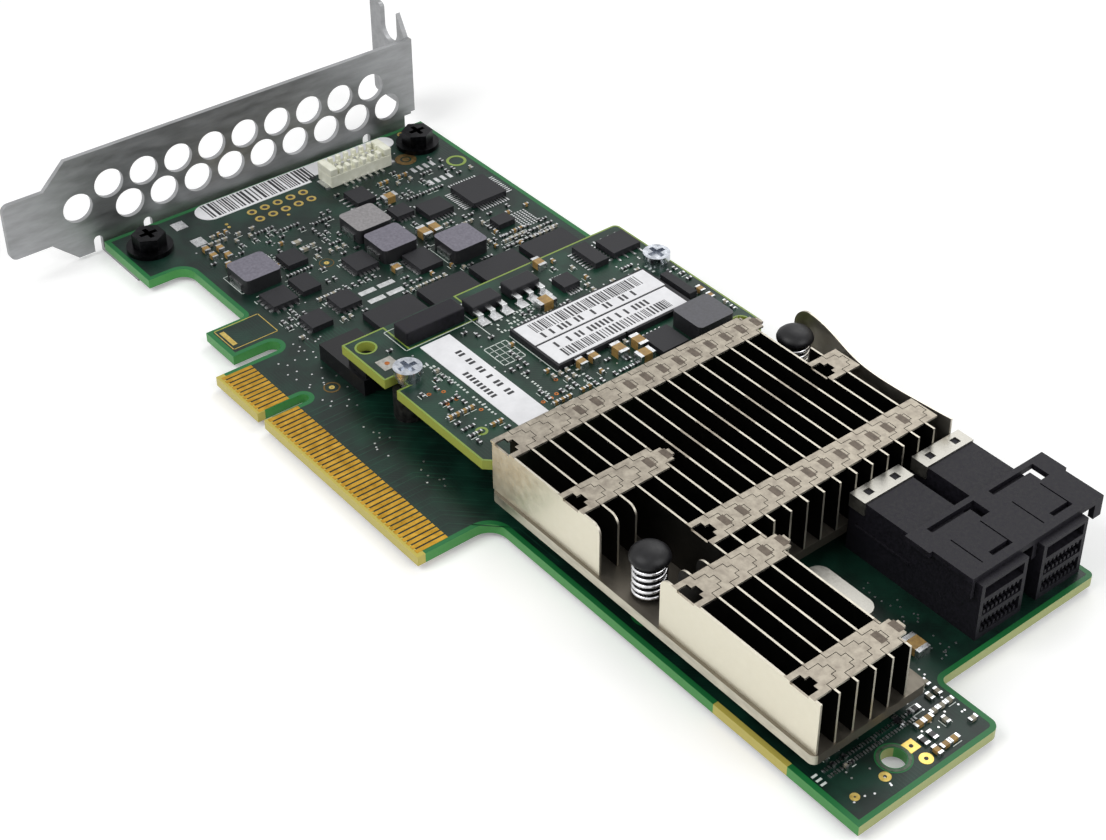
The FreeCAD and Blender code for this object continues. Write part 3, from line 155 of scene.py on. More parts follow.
def grain(tree, shader, period, depth, colour_a, colour_b, rough_a, rough_b, stretch=(1, 1, 1)):
    """Mottled colour and roughness with a fine bump. Period and depth are in millimetres."""
    where = object_coords(tree, stretch)
    cloud = add_node(tree, "TexNoise", Vector=(where, "Vector"), Scale=1 / period,
                     Detail=4.0, Roughness=0.6)
    spread = add_node(tree, "MapRange", Value=(cloud, "Fac"), i1=0.32, i2=0.68)
    rough = add_node(tree, "MapRange", Value=(cloud, "Fac"), i1=0.3, i2=0.7, i3=rough_a, i4=rough_b)
    tree.links.new(rough.outputs["Result"], shader.inputs["Roughness"])
    paint = blend(tree, (spread, "Result"), colour_a, colour_b)
    tree.links.new(paint[0].outputs[2], shader.inputs["Base Color"])
    bump = add_node(tree, "Bump", Height=(cloud, "Fac"), Distance=mm(depth), Strength=1.0)
    tree.links.new(bump.outputs["Normal"], shader.inputs["Normal"])
    return paint


print("node helpers ready")

# %% [markdown]
# Solder mask is a glossy green lacquer over copper and glass fibre. Copper beneath
# it looks dark, and bare fibre beneath it looks lighter, so the face gets soft
# patches and faint straight tracks. The real ones are 0.2 mm apart, too fine to
# show, so they are drawn coarser. The cut sides have no lacquer: they show green
# fibre, and straw-coloured fibre at the far end, on the tab's bevel and one stretch.

# %% Solder mask and bare fibre
TAB = {"x": (-13.2, 40.4), "y": 1.3}
BARE_STRETCH = {"x": (85.2, 98.6), "y": 14.2}
FAR_END = 80.0
PATCH_SIZE, CLOUD_SIZE = 8.0, 6.0


def straw_places(tree):
    """One on the bevel of the tab and on the bare stretch near the far end."""
    axes = add_node(tree, "SeparateXYZ", Vector=(object_coords(tree), "Vector"))
    found = []
    for place in (TAB, BARE_STRETCH):
        inside = over(tree, (axes, "X"), place["x"][0])
        beyond = over(tree, (axes, "X"), place["x"][1])
        above = over(tree, (axes, "Y"), place["y"])
        ends = add_node(tree, "Math", {"operation": "SUBTRACT"}, i0=inside, i1=beyond)
        low = add_node(tree, "Math", {"operation": "SUBTRACT"}, i0=1.0, i1=above)
        found.append(both(tree, (ends, "Value"), (low, "Value")))
    return larger(tree, *found)


def solder_mask(name, deep, lit, side, end, straw):
    material, tree, shader = new_finish(name, deep, 0.0, 0.36, Specular_IOR_Level=0.28)
    where = object_coords(tree)
    patches = add_node(tree, "TexVoronoi", {"feature": "F1"}, Vector=(where, "Vector"),
                       Scale=1 / PATCH_SIZE)
    turned = add_node(tree, "VectorRotate", {"rotation_type": "Z_AXIS"},
                      Vector=(where, "Vector"), Angle=math.radians(45))
    lines = [add_node(tree, "TexWave", {"bands_direction": way}, Vector=(source, "Vector"),
                      Scale=0.6, Distortion=0.5, Detail=1.0, Detail_Scale=0.1)
             for way, source in (("Y", where), ("X", turned))]
    split = add_node(tree, "SeparateColor", Color=(patches, "Color"))
    tracks = add_node(tree, "Mix", {"data_type": "FLOAT"}, i0=over(tree, (split, "Red"), 0.5),
                      i2=(lines[0], "Fac"), i3=(lines[1], "Fac"))
    thin = add_node(tree, "MapRange", Value=(tracks, "Result"), i1=0.6, i2=0.75)
    present = add_node(tree, "MapRange", Value=(split, "Green"), i1=0.4, i2=0.5, i4=0.25)
    amount = both(tree, (thin, "Result"), (present, "Result"))
    cloud = add_node(tree, "TexNoise", Vector=(where, "Vector"), Scale=1 / CLOUD_SIZE,
                     Detail=4.0)
    spread = add_node(tree, "MapRange", Value=(cloud, "Fac"), i1=0.42, i2=0.66)
    base = blend(tree, (spread, "Result"), deep, lit)
    top = blend(tree, amount, base, lit)
    axes = facing(tree)
    place = add_node(tree, "SeparateXYZ", Vector=(where, "Vector"))
    far_end = both(tree, over(tree, (axes, "X"), 0.7), over(tree, (place, "X"), FAR_END))
    cut_side = blend(tree, far_end, side, end)
    if straw:
        cut_side = blend(tree, straw_places(tree), cut_side, straw)
    whole = blend(tree, over(tree, (axes, "Z"), 0.5), cut_side, top)
    tree.links.new(whole[0].outputs[2], shader.inputs["Base Color"])
    bump = add_node(tree, "Bump", Height=amount, Distance=mm(0.03), Strength=0.5)
    tree.links.new(bump.outputs["Normal"], shader.inputs["Normal"])
    return material


board_mask = solder_mask("green_solder_mask", "#071B15", "#0F3226", "#448F47", "#A3AA6C",
                         "#C2B55E")
deck_mask = solder_mask("deck_solder_mask", "#0A241B", "#183F2F", "#A2AC4E", "#A2AC4E", None)
rim_finish, rim_tree, rim_shader = new_finish("lacquered_fibre_rim", "#1B6A36", 0.0, 0.4,
                                              Specular_IOR_Level=0.3)
rim_paint = blend(rim_tree, straw_places(rim_tree), "#1B6A36", "#BDAF52")
rim_tree.links.new(rim_paint[0].outputs[2], rim_shader.inputs["Base Color"])
deck_rim_finish = new_finish("deck_fibre_rim", "#7E963A", 0.0, 0.42)[0]
print("boards ready")

# %% [markdown]
# Metals differ by how they were made. Sheet steel for the bracket is zinc plated
# and keeps faint rolling marks, which a smaller stretch along one axis draws out.
# Wire, screws and tin leads are bright, contacts have hard gold, test points have
# a thin flash of gold, and the posts are brass, painted a near-black grey as the shade under the
# deck.

# %% Metals
def metal(name, colour_a, colour_b, rough_a, rough_b, period, depth, stretch=(1, 1, 1)):
    material, tree, shader = new_finish(name, colour_a, 1.0, rough_a)
    grain(tree, shader, period, depth, colour_a, colour_b, rough_a, rough_b, stretch)
    return material


bracket_steel = metal("zinc_plated_bracket", "#8C8D8E", "#A2A3A5", 0.4, 0.52, 1.6, 0.008,
                      (1, 0.25, 1))
gold_plate = metal("hard_gold_plate", "#A67C22", "#C79C3C", 0.26, 0.4, 1.5, 0.004)
flash_gold = metal("flash_gold", "#B59A4C", "#D3BC70", 0.28, 0.4, 0.8, 0.004)
# The posts' near-black grey is painted shade: they stand in the dark under the deck.
post_painted_shade = metal("post_in_painted_shade", "#2C2C2C", "#4A4A48", 0.4, 0.55, 0.8, 0.006)
tin_plate = metal("bright_tin", "#B4B5B6", "#D6D7D8", 0.22, 0.36, 0.8, 0.006)
screw_nickel = metal("nickel_plated_screw", "#9FA4AC", "#C9CDD4", 0.16, 0.3, 0.9, 0.006)
black_zinc = metal("black_zinc_screw", "#101012", "#232326", 0.28, 0.45, 0.8, 0.008)
spring_wire = metal("spring_wire", "#C4C4C6", "#E2E2E4", 0.16, 0.3, 1.0, 0.003)
clip_steel = metal("stamped_clip_steel", "#92908A", "#ABA9A2", 0.34, 0.5, 0.6, 0.008)
copper_pad = metal("bare_copper_pad", "#96552C", "#B87540", 0.34, 0.5, 0.6, 0.004)
dull_ring = metal("dull_plated_ring", "#3E4A3E", "#5E6A5C", 0.4, 0.55, 0.6, 0.004)
bronze_ring = metal("tarnished_ring", "#5E4A2C", "#7C6540", 0.4, 0.55, 0.6, 0.004)
print("metals ready")

# %% [markdown]
# The fins are stamped from thin plated sheet. Their locking rows on top are matt
# and warm grey, and the outer skins are pale and satin. Between the fins almost no
# light gets in, so the faces there are painted a dark grey: painted shade.
# The base plate is milled. Its faces towards front and back are lighter, and its other faces are
# darker.

# %% Fin sheet and base plate
ROWS = (40.6, 55.4, 70.5, 78.1, 98.4)
HALF_ROW = 2.7
SKIN_EDGE = 14.0


def fin_sheet(name, row_a, row_b, skin, between, rim):
    material, tree, shader = new_finish(name, row_a, 1.0, 0.42)
    rows = grain(tree, shader, 1.4, 0.02, row_a, row_b, 0.4, 0.52)
    place = add_node(tree, "SeparateXYZ", Vector=(object_coords(tree), "Vector"))
    axes = facing(tree)
    near_row = [add_node(tree, "Math", {"operation": "COMPARE"}, i0=(place, "X"), i1=row,
                         i2=HALF_ROW) for row in ROWS]
    in_row = near_row[0], "Value"
    for spot in near_row[1:]:
        in_row = larger(tree, in_row, (spot, "Value"))
    top = blend(tree, both(tree, in_row, over(tree, (axes, "Z"), 0.6)), rim, rows)
    # Faces along y behind the front skin get the between colour: painted shade in the gaps between
    # the fins.
    walls = blend(tree, over(tree, (place, "Y"), SKIN_EDGE), skin, between)
    upright = blend(tree, over(tree, (axes, "Y"), 0.6), top, walls)
    tree.links.new(upright[0].outputs[2], shader.inputs["Base Color"])
    return material


def base_metal(name, edge_a, edge_b, top):
    """Milled plate, lighter on faces towards front and back and darker on the rest."""
    material, tree, shader = new_finish(name, edge_a, 1.0, 0.45)
    edge = grain(tree, shader, 0.8, 0.008, edge_a, edge_b, 0.4, 0.55, (0.3, 1, 1))
    whole = blend(tree, over(tree, (facing(tree), "Y"), 0.3), top, edge)
    tree.links.new(whole[0].outputs[2], shader.inputs["Base Color"])
    return material


# The fourth colour, near black, is painted shade for the faces between the fins.
fin_plating_and_gap_shade = fin_sheet("plated_fin_sheet_with_painted_gap_shade", "#787167", "#A0998C", "#DCD7C6", "#1E1D1B",
                        "#B2ADA1")
base_plate = base_metal("milled_base_plate", "#B0AB9D", "#C8C3B4", "#68635A")
rear_sheet = metal("satin_rear_sheet", "#AFA99D", "#D4CFC4", 0.3, 0.45, 5.0, 0.02)
row_recess = metal("shaded_row_recess", "#4E4740", "#6A6158", 0.45, 0.6, 0.8, 0.01)
print("fins ready")

# %% [markdown]
# Chip packages are moulded from black epoxy filled with glass powder: matt, with a
# very fine grain. Connector plastic is glass-filled nylon, a little shinier. Paper
# labels are coated, soft pads are silicone, and chip capacitors are fired ceramic.

# %% Plastics, ceramics and paper
def moulded(name, colour_a, colour_b, rough_a, rough_b, period, depth, **sockets):
    material, tree, shader = new_finish(name, colour_a, 0.0, rough_a, **sockets)
    grain(tree, shader, period, depth, colour_a, colour_b, rough_a, rough_b)
    return material


chip_epoxy = moulded("moulded_epoxy", "#121214", "#232328", 0.5, 0.66, 0.35, 0.01,
                     Specular_IOR_Level=0.32)
port_nylon = moulded("glass_filled_nylon", "#0A090E", "#1A1820", 0.5, 0.66, 0.5, 0.014,
                     Specular_IOR_Level=0.25)
pin_nylon = moulded("black_acetal", "#08080A", "#131316", 0.38, 0.52, 0.7, 0.006,
                    Specular_IOR_Level=0.3)
cream_nylon = moulded("cream_nylon", "#E0E0CC", "#F0F0E0", 0.4, 0.52, 1.5, 0.006)
ceramic_tan = moulded("fired_ceramic", "#86683A", "#AE8C4E", 0.4, 0.6, 0.7, 0.01)
ceramic_grey = moulded("grey_ceramic", "#8C8676", "#A6A08E", 0.4, 0.6, 0.7, 0.01)
resistor_glaze = moulded("black_resistor_glaze", "#0D0D0F", "#1C1C20", 0.3, 0.45, 0.4, 0.004)
paper = moulded("coated_paper", "#E6E6E8", "#F2F2F4", 0.42, 0.55, 2.0, 0.004)
# This black is the ink on the labels and also painted shade in the open holes.
ink_and_hole_shade = moulded("ink_and_hole_shade", "#131316", "#1F1F24", 0.5, 0.6, 0.6, 0.002)
white_ink = moulded("white_legend_ink", "#C4CCC6", "#DEE4DE", 0.5, 0.6, 0.5, 0.004)
silicone_pad = moulded("silicone_pad", "#8C8C90", "#A2A2A5", 0.6, 0.75, 1.0, 0.02)


def topped_ferrite(name, top_a, top_b, side):
    """Pressed iron powder whose upper face is ground and lacquered lighter."""
    material, tree, shader = new_finish(name, top_a, 0.0, 0.45)
    paint = grain(tree, shader, 0.5, 0.015, top_a, top_b, 0.4, 0.6)
    whole = blend(tree, over(tree, (facing(tree), "Z"), 0.6), side, paint)
    tree.links.new(whole[0].outputs[2], shader.inputs["Base Color"])
    return material


choke_grey = topped_ferrite("lilac_grey_choke", "#5F5C68", "#7A7782", "#19191C")
choke_light = topped_ferrite("light_grey_choke", "#7E7B7C", "#979495", "#222225")
choke_dark = topped_ferrite("dark_choke", "#3A3A3E", "#54545A", "#17171A")
print("plastics ready")

# %% [markdown]
# A node from the frame keeps its shape, and only the material in its slots changes.
# The table below is read like a paint schedule: finish first, then the pieces.

# %% Dress the frame
SCHEDULE = [
    (board_mask, ["main_board"]), (deck_mask, ["daughter_board"]),
    (gold_plate, ["edge_contacts"]), (dull_ring, ["plated_rings"]),
    (bracket_steel, ["io_bracket"]), (black_zinc, ["bracket_screws"]),
    (screw_nickel, ["post_screws"]), (post_painted_shade, ["board_posts"]), (clip_steel, ["crystal_can"]),
    (base_plate, ["heat_sink_base"]), (rear_sheet, ["fin_rear"]),
    (fin_plating_and_gap_shade, ["fins_front_left", "fins_front_right", "fins_cross", "fin_long", "fins_main",
                   "fin_pin_side", "fin_last"]),
    (pin_nylon, ["push_pins", "stack_socket", "stack_plug"]), (spring_wire, ["pin_springs"]),
    (chip_epoxy, ["processor", "quad_package", "memory_chips", "driver_chips", "outline_chips",
                  "cache_chips", "power_transistors"]),
    (silicone_pad, ["thermal_pad"]),
    (port_nylon, ["drive_port_shells", "drive_port_latch", "drive_port_contacts"]),
    (clip_steel, ["drive_port_clips"]), (choke_grey, ["power_chokes"]),
    (choke_light, ["light_choke"]), (choke_dark, ["daughter_choke"]),
    (tin_plate, ["choke_feet", "quad_leads", "driver_pads", "outline_leads", "transistor_tabs",
                 "transistor_leads", "header_pins", "capacitor_ends"]),
    (cream_nylon, ["battery_header"]), (ceramic_tan, ["ceramic_capacitors"]),
    (paper, ["board_label", "deck_label", "cache_labels"]),
]
for finish, members in SCHEDULE:
    for member in members:
        slots = nodes[member].material_slots
        for slot in slots:
            slot.material = finish
        if not slots:
            nodes[member].data.materials.append(finish)
dressed = {m for _, members in SCHEDULE for m in members}
print("undressed nodes:", sorted(set(nodes) - dressed))

# %% [markdown]
# New pieces are drawn in millimetres in one bmesh each, from a few shapes: a block
# between two corners, a flat disc, a frame of four lines, and a washer, which is the
# section of a ring spun once round. One function turns a drawing to metres, makes
# the faces point outwards and hangs the piece on the card. The last one tells where
# the frame's own parts stand, so that new ones can keep clear of them.

# %% Shapes for new pieces
def block(mesh, x, y, z):
    """A block from its low and high x, y and z in millimetres."""
    middle = [(low + high) / 2 for low, high in (x, y, z)]
    size = [high - low for low, high in (x, y, z)]
    place = Matrix.Translation(middle) @ Matrix.Diagonal((*size, 1.0))
    return bmesh.ops.create_cube(mesh, size=1.0, matrix=place)["verts"]


def disc(mesh, x, y, z, dia, thick, steps=14):
    place = Matrix.Translation((x, y, z + thick / 2))
    bmesh.ops.create_cone(mesh, cap_ends=True, segments=steps, radius1=dia / 2,
                          radius2=dia / 2, depth=thick, matrix=place)


def washer(mesh, x, y, z, outer, inner, thick, steps=20):
    """A flat ring: the four corners of its section, spun once round."""
    section = ((inner / 2, z), (outer / 2, z), (outer / 2, z + thick), (inner / 2, z + thick))
    corners = [mesh.verts.new((x + radius, y, height)) for radius, height in section]
    edges = [mesh.edges.new((corners[i - 1], corners[i])) for i in range(4)]
    bmesh.ops.spin(mesh, geom=corners + edges, cent=(x, y, 0), axis=(0, 0, 1),
                   angle=2 * math.pi, steps=steps, use_merge=True)


def outline(mesh, x, y, level, width=0.16, thick=0.02):
    """Four flat lines round a box."""
    for run_x, run_y in ((x, (y[0], y[0] + width)), (x, (y[1] - width, y[1])),
                         ((x[0], x[0] + width), y), ((x[1] - width, x[1]), y)):
        block(mesh, run_x, run_y, (level, level + thick))


def finish_piece(name, mesh, finish, smooth=False):
    """Turns a drawing into an object in metres that rides on the card."""
    bmesh.ops.scale(mesh, vec=(0.001, 0.001, 0.001), verts=mesh.verts)
    bmesh.ops.recalc_face_normals(mesh, faces=mesh.faces)
    data = bpy.data.meshes.new(name)
    mesh.to_mesh(data)
    mesh.free()
    for face in data.polygons:
        face.use_smooth = smooth
    data.materials.append(finish)
    piece = bpy.data.objects.new(name, data)
    bpy.context.scene.collection.objects.link(piece)
    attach(piece, "root")
    print(name, len(data.polygons), "faces")
    return piece


def islands(*names):
    """The x, y and z ranges in millimetres of the loose parts of some nodes, sorted."""
    boxes = []
    for name in names:
        mesh = bmesh.new()
        mesh.from_mesh(nodes[name].data)
        bmesh.ops.remove_doubles(mesh, verts=mesh.verts, dist=mm(0.001))
        waiting = set(mesh.verts)
        while waiting:
            front = [waiting.pop()]
            part = list(front)
            while front:
                vert = front.pop()
                near = {edge.other_vert(vert) for edge in vert.link_edges} & waiting
                waiting -= near
                front += near
                part += near
            boxes.append([[f(v.co[axis] * 1000 for v in part) for f in (min, max)]
                          for axis in range(3)])
        mesh.free()
    return sorted(boxes)


TOP = 0.0
INK, PLATING = 0.02, 0.04
DECK = islands("daughter_board")[0][2][1]
print("the deck's upper face is at", round(DECK, 2), "mm")

# %% [markdown]
# Copper stops about a millimetre short of a board's edge, so the lacquer there is
# over bare fibre and shows as a bright green rim. The rim is cut from the board's
# own upper face: the face is inset, and only the new border is kept.

# %% Bright rims
LACQUER = 0.012


def bright_rim(source, name, level, width, finish):
    mesh = bmesh.new()
    mesh.from_mesh(nodes[source].data)
    bmesh.ops.remove_doubles(mesh, verts=mesh.verts, dist=mm(0.002))
    hidden = [f for f in mesh.faces
              if f.normal.z < 0.9 or abs(f.calc_center_median().z - mm(level)) > mm(0.1)]
    bmesh.ops.delete(mesh, geom=hidden, context="FACES")
    bmesh.ops.dissolve_degenerate(mesh, edges=mesh.edges, dist=mm(0.01))
    border = bmesh.ops.inset_region(mesh, faces=mesh.faces[:], thickness=mm(width),
                                    use_boundary=True, use_even_offset=True)["faces"]
    kept = set(border)
    bmesh.ops.delete(mesh, geom=[f for f in mesh.faces if f not in kept], context="FACES")
    bmesh.ops.scale(mesh, vec=(1000, 1000, 1000), verts=mesh.verts)
    raised = bmesh.ops.extrude_face_region(mesh, geom=mesh.faces[:])["geom"]
    bmesh.ops.translate(mesh, vec=(0, 0, LACQUER),
                        verts=[v for v in raised if isinstance(v, bmesh.types.BMVert)])
    return finish_piece(name, mesh, finish)


bright_rim("main_board", "main_board_rim", TOP, 0.8, rim_finish)
bright_rim("daughter_board", "deck_rim", DECK, 0.3, deck_rim_finish)

# %% [markdown]
# Bare places on the card are plated so that solder or a probe can reach them. Gold
# rings and dots are test points, and the two rows of rings take a plug's pins. The
# gold bar in a thin frame is a mark near the tab.

# %% Gold dots and rings
gold = bmesh.new()
# The black discs in the holes are painted shade: an open hole shows only its dark barrel.
holes = bmesh.new()
for column in range(2):
    for place in range(5):
        x, y = -48.9 + 2.6 * column, 28.7 + 2.55 * place
        washer(gold, x, y, TOP, 1.7, 0.9, PLATING)
        disc(holes, x, y, TOP, 0.9, INK)
TEST_RINGS = ((108.5, 26.8, 1.9, 0.6), (107.3, 20.8, 1.6, 0.5), (107.2, 15.7, 1.3, 0.3),
              (-54.5, 63.4, 1.6, 0.9), (-28.1, 30.0, 0.9, 0.2), (0.5, 12.1, 0.9, 0.2))
for x, y, outer, inner in TEST_RINGS:
    washer(gold, x, y, TOP, outer, inner, PLATING)
    disc(holes, x, y, TOP, inner, INK)
for x, y in ((-48.3, 23.4), (-47.3, 23.3), (-44.4, 33.1)):
    disc(gold, x, y, TOP, 0.6, PLATING)
block(gold, (105.0, 106.8), (25.95, 27.75), (TOP, PLATING))
disc(holes, 105.9, 26.85, TOP + 0.03, 0.6, INK)
block(gold, (-22.0, -17.9), (6.2, 7.0), (TOP, PLATING))
outline(gold, (-22.9, -16.9), (5.7, 13.7), TOP, 0.14, 0.03)
finish_piece("test_points", gold, flash_gold)
finish_piece("pin_holes", holes, ink_and_hole_shade)

# %% [markdown]
# Silver pads without parts are tinned copper, left free for other versions of the
# card. Each driver chip stands on a row of them on two sides. Small round copper
# marks guide the placing robot, and a few rings are worn or stay under the lacquer.

# %% Bare pads and marks
pads = bmesh.new()
for x, y in (((-54.0, -51.6), (15.9, 18.1)), ((-47.7, -45.3), (16.0, 18.1))):
    block(pads, x, y, (TOP, PLATING))
for x in (-43.0, -37.8):
    for y in (61.8, 60.5, 59.2, 57.9):
        block(pads, (x - 0.8, x + 0.8), (y - 0.35, y + 0.35), (TOP, 0.05))
for x in (-17.1, -14.4):
    for y in (30.5, 34.1):
        block(pads, (x - 0.55, x + 0.55), (y - 1.5, y + 1.5), (TOP, PLATING))
for column in range(9):
    for line in range(6):
        block(pads, (-21.0 + 0.55 * column, -20.65 + 0.55 * column),
              (61.8 + 0.62 * line, 62.1 + 0.62 * line), (TOP, PLATING))
for step in range(31):
    for x in (101.9, 103.0):
        block(pads, (x - 0.28, x + 0.28), (15.5 + 0.5 * step, 15.78 + 0.5 * step), (TOP, 0.08))
PAD_PITCH = 0.65
for (left, right), (near, far), _ in islands("driver_chips"):
    for step in range(int((right - left - 0.4) / PAD_PITCH)):
        x = left + 0.5 + PAD_PITCH * step
        block(pads, (x - 0.16, x + 0.16), (near - 0.45, near + 0.1), (TOP, 0.12))
        block(pads, (x - 0.16, x + 0.16), (far - 0.1, far + 0.45), (TOP, 0.12))
finish_piece("bare_pads", pads, tin_plate)

worn = bmesh.new()
washer(worn, -46.9, 59.0, TOP, 3.8, 2.0, 0.03, 28)
disc(worn, -46.9, 59.0, TOP, 1.4, 0.03)
washer(worn, -28.1, 30.0, TOP, 2.5, 2.2, 0.03, 24)
washer(worn, 0.5, 12.1, TOP, 2.6, 2.1, 0.03, 24)
finish_piece("tarnished_rings", worn, bronze_ring)
marks = bmesh.new()
disc(marks, 8.2, 17.2, DECK + 0.03, 0.8, 0.03)
for x, y in ((25.8, 21.3), (29.5, 21.5), (21.7, 18.3), (19.0, 19.6), (21.6, 20.0), (29.6, 34.2),
             (29.7, 32.0), (30.0, 30.8), (30.0, 29.3), (27.0, 34.0), (16.0, 20.4), (18.2, 17.6)):
    washer(marks, x, y, DECK, 0.7, 0.3, 0.03, 12)
finish_piece("copper_marks", marks, copper_pad)
square = bmesh.new()
block(square, (6.9, 9.6), (15.9, 18.6), (DECK, 0.03 + DECK))
finish_piece("deck_marker", square, clip_steel)
rings = bmesh.new()
washer(rings, -41.0, 65.7, TOP, 3.6, 2.6, 0.03, 26)
washer(rings, 29.8, 18.4, DECK, 1.9, 1.1, 0.03, 18)
finish_piece("pale_rings", rings, deck_rim_finish)

# %% [markdown]
# A tall black connector passes down through the deck and takes the board below it.
# Next to it stand two power packages. Each is an epoxy body with a flat tab at its
# back and three wide leads at its front, which are bent down to the deck and end in
# wider feet. They are drawn as blocks with rounded edges.

# %% Deck connector and power packages
def rounded(mesh, x, y, z, radius):
    """A block whose edges are rounded a little, as a moulding has them."""
    made = block(mesh, x, y, z)
    edges = {edge for vert in made for edge in vert.link_edges}
    bmesh.ops.bevel(mesh, geom=list(edges), offset=radius, segments=2, profile=0.5,
                    affect="EDGES", material=-1)


deck_low = min(box[2][0] for box in islands("daughter_board"))
start = min(box[0][0] for box in islands("daughter_board"))
bridge = bmesh.new()
block(bridge, (start, 7.2), (22.0, 35.0), (deck_low, DECK))
finish_piece("deck_bridge", bridge, deck_mask)
stack = bmesh.new()
rounded(stack, (3.2, 6.7), (21.9, 32.6), (DECK - 2.7, 9.0), 0.2)
for y in (22.7, 31.0):
    rounded(stack, (3.0, 3.4), (y, y + 0.8), (DECK, 8.6), 0.08)
for index in range(16):
    y = 23.0 + 0.56 * index
    block(stack, (3.12, 3.3), (y, y + 0.26), (DECK + 0.2, 8.5))
finish_piece("deck_connector", stack, port_nylon)
packages, tabs, leads = bmesh.new(), bmesh.new(), bmesh.new()
for low in (33.9, 41.3):
    rounded(packages, (4.0, 6.95), (low, low + 5.5), (DECK + 0.1, 8.5), 0.18)
    block(tabs, (3.3, 4.4), (low + 0.3, low + 5.2), (DECK, DECK + 0.5))
    for index in range(3):
        y = low + 0.5 + 2.25 * index
        rounded(leads, (6.8, 8.4), (y - 0.5, y + 0.5), (7.35, 7.75), 0.08)
        rounded(leads, (8.05, 8.45), (y - 0.5, y + 0.5), (DECK + 0.1, 7.7), 0.08)
        rounded(leads, (8.1, 9.9), (y - 0.85, y + 0.85), (DECK, DECK + 0.35), 0.08)
for name, mesh, finish, slot, old in (
        ("power_packages", packages, chip_epoxy, "chip_epoxy", "power_transistors"),
        ("package_tabs", tabs, tin_plate, "tin_plate", "transistor_tabs"),
        ("package_leads", leads, tin_plate, "tin_plate", "transistor_leads")):
    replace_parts(finish_piece(name, mesh, finish), old)

# %% [markdown]
# Small parts may stand only where a board is under them and nothing else stands.
# The boxes that are taken come from the frame, the bare spots keep the pads and
# rings free, and a ray cast down at four corners tells whether the board is there.

# %% Room on the boards
taken = islands("power_chokes", "light_choke", "driver_chips", "driver_pads", "outline_chips",
                "outline_leads", "quad_package", "quad_leads", "memory_chips", "board_label",
                "battery_header", "header_pins", "ceramic_capacitors", "choke_feet",
                "bracket_screws", "deck_label", "cache_chips", "post_screws", "daughter_choke",
                "stack_socket", "board_posts", "drive_port_shells", "crystal_can",
                "heat_sink_base")
taken += [((1.5, 10.2), (33.0, 48.0), (DECK, 9.0)), ((0.0, 7.6), (21.0, 33.6), (DECK, 9.0))]
bare_spots = [(-48.9, 28.0, 5), (-46.3, 38.0, 5), (-47.6, 33.8, 7), (-41.0, 65.7, 2.4),
              (-46.9, 59.0, 2.4), (-54.5, 63.4, 1.5), (-28.1, 30.0, 1.8), (-19.9, 9.7, 5),
              (-15.8, 32.3, 3.4), (-46.5, 17, 1.8), (-52.8, 17, 1.8), (-43, 60, 2.2),
              (-37.8, 60, 2.2), (-18.6, 63.4, 2.6), (8.2, 17.2, 2.3), (3.0, 17.0, 2.6),
              (13.0, 65.6, 2.8), (4.0, 17.0, 2.4), (105.9, 23.8, 3.2), (108.5, 26.8, 1.6)]


def top_tree(name):
    """A node's faces, ready for rays."""
    mesh = bmesh.new()
    mesh.from_mesh(nodes[name].data)
    found = BVHTree.FromBMesh(mesh)
    mesh.free()
    return found


boards = {TOP: top_tree("main_board"), DECK: top_tree("daughter_board")}


def is_on_board(x, y, level, room):
    """Whether the board's face is there, and a little way round it too."""
    for a, b in ((-room, -room), (-room, room), (room, -room), (room, room)):
        start = Vector((mm(x + a), mm(y + b), mm(level + 0.5)))
        if boards[level].ray_cast(start, (0, 0, -1), mm(1.0))[0] is None:
            return False
    return True


def is_free(x, y, level, room):
    if not is_on_board(x, y, level, room + 0.5):
        return False
    for (x_low, x_high), (y_low, y_high), (z_low, z_high) in taken:
        level_with = z_low < level + 0.8 and z_high > level
        if level_with and x_low - room < x < x_high + room and y_low - room < y < y_high + room:
            return False
    return all(math.hypot(x - a, y - b) > radius for a, b, radius in bare_spots)


print(len(taken), "boxes and", len(bare_spots), "bare spots are kept free")

# %% [markdown]
# Chip resistors and capacitors are a body between two tinned ends. Their sizes come
# in steps such as 1.0 by 0.5 mm and 1.6 by 0.8 mm, and a robot sets them on a grid
# in small groups that lie the same way. Most are black resistors, and some have a
# printed line on each side.

# %% Chip resistors and capacitors
parts = {"resistor_bodies": bmesh.new(), "tan_bodies": bmesh.new(), "grey_bodies": bmesh.new(),
         "part_ends": bmesh.new(), "legend_lines": bmesh.new()}
MIX = ("resistor", "resistor", "resistor", "resistor", "resistor", "grey", "grey", "tan")
KINDS = {"resistor": ("resistor_bodies", 0.36), "tan": ("tan_bodies", 0.55),
         "grey": ("grey_bodies", 0.5)}
CAP_SHARE, LEGEND_SHARE = 0.24, 0.35


def chip_part(kind, x, y, level, length, width, along_x, legend=False):
    """A body between two tinned ends, with a printed line on each side if asked."""
    body, height = KINDS[kind]
    cap = length * CAP_SHARE
    pieces = [(body, cap - length / 2, length / 2 - cap, height),
              ("part_ends", -length / 2, cap - length / 2, height + 0.03),
              ("part_ends", length / 2 - cap, length / 2, height + 0.03)]
    for target, low, high, tall in pieces:
        run, side = (low, high), (-width / 2, width / 2)
        ranges = (run, side) if along_x else (side, run)
        block(parts[target], [x + v for v in ranges[0]], [y + v for v in ranges[1]],
              (level, level + tall))
    if legend:
        for way in (-1, 1):
            run = (-length / 2, length / 2)
            side = (way * (width / 2 + 0.28) - 0.06, way * (width / 2 + 0.28) + 0.06)
            ranges = (run, side) if along_x else (side, run)
            block(parts["legend_lines"], [x + v for v in ranges[0]],
                  [y + v for v in ranges[1]], (level, level + INK))


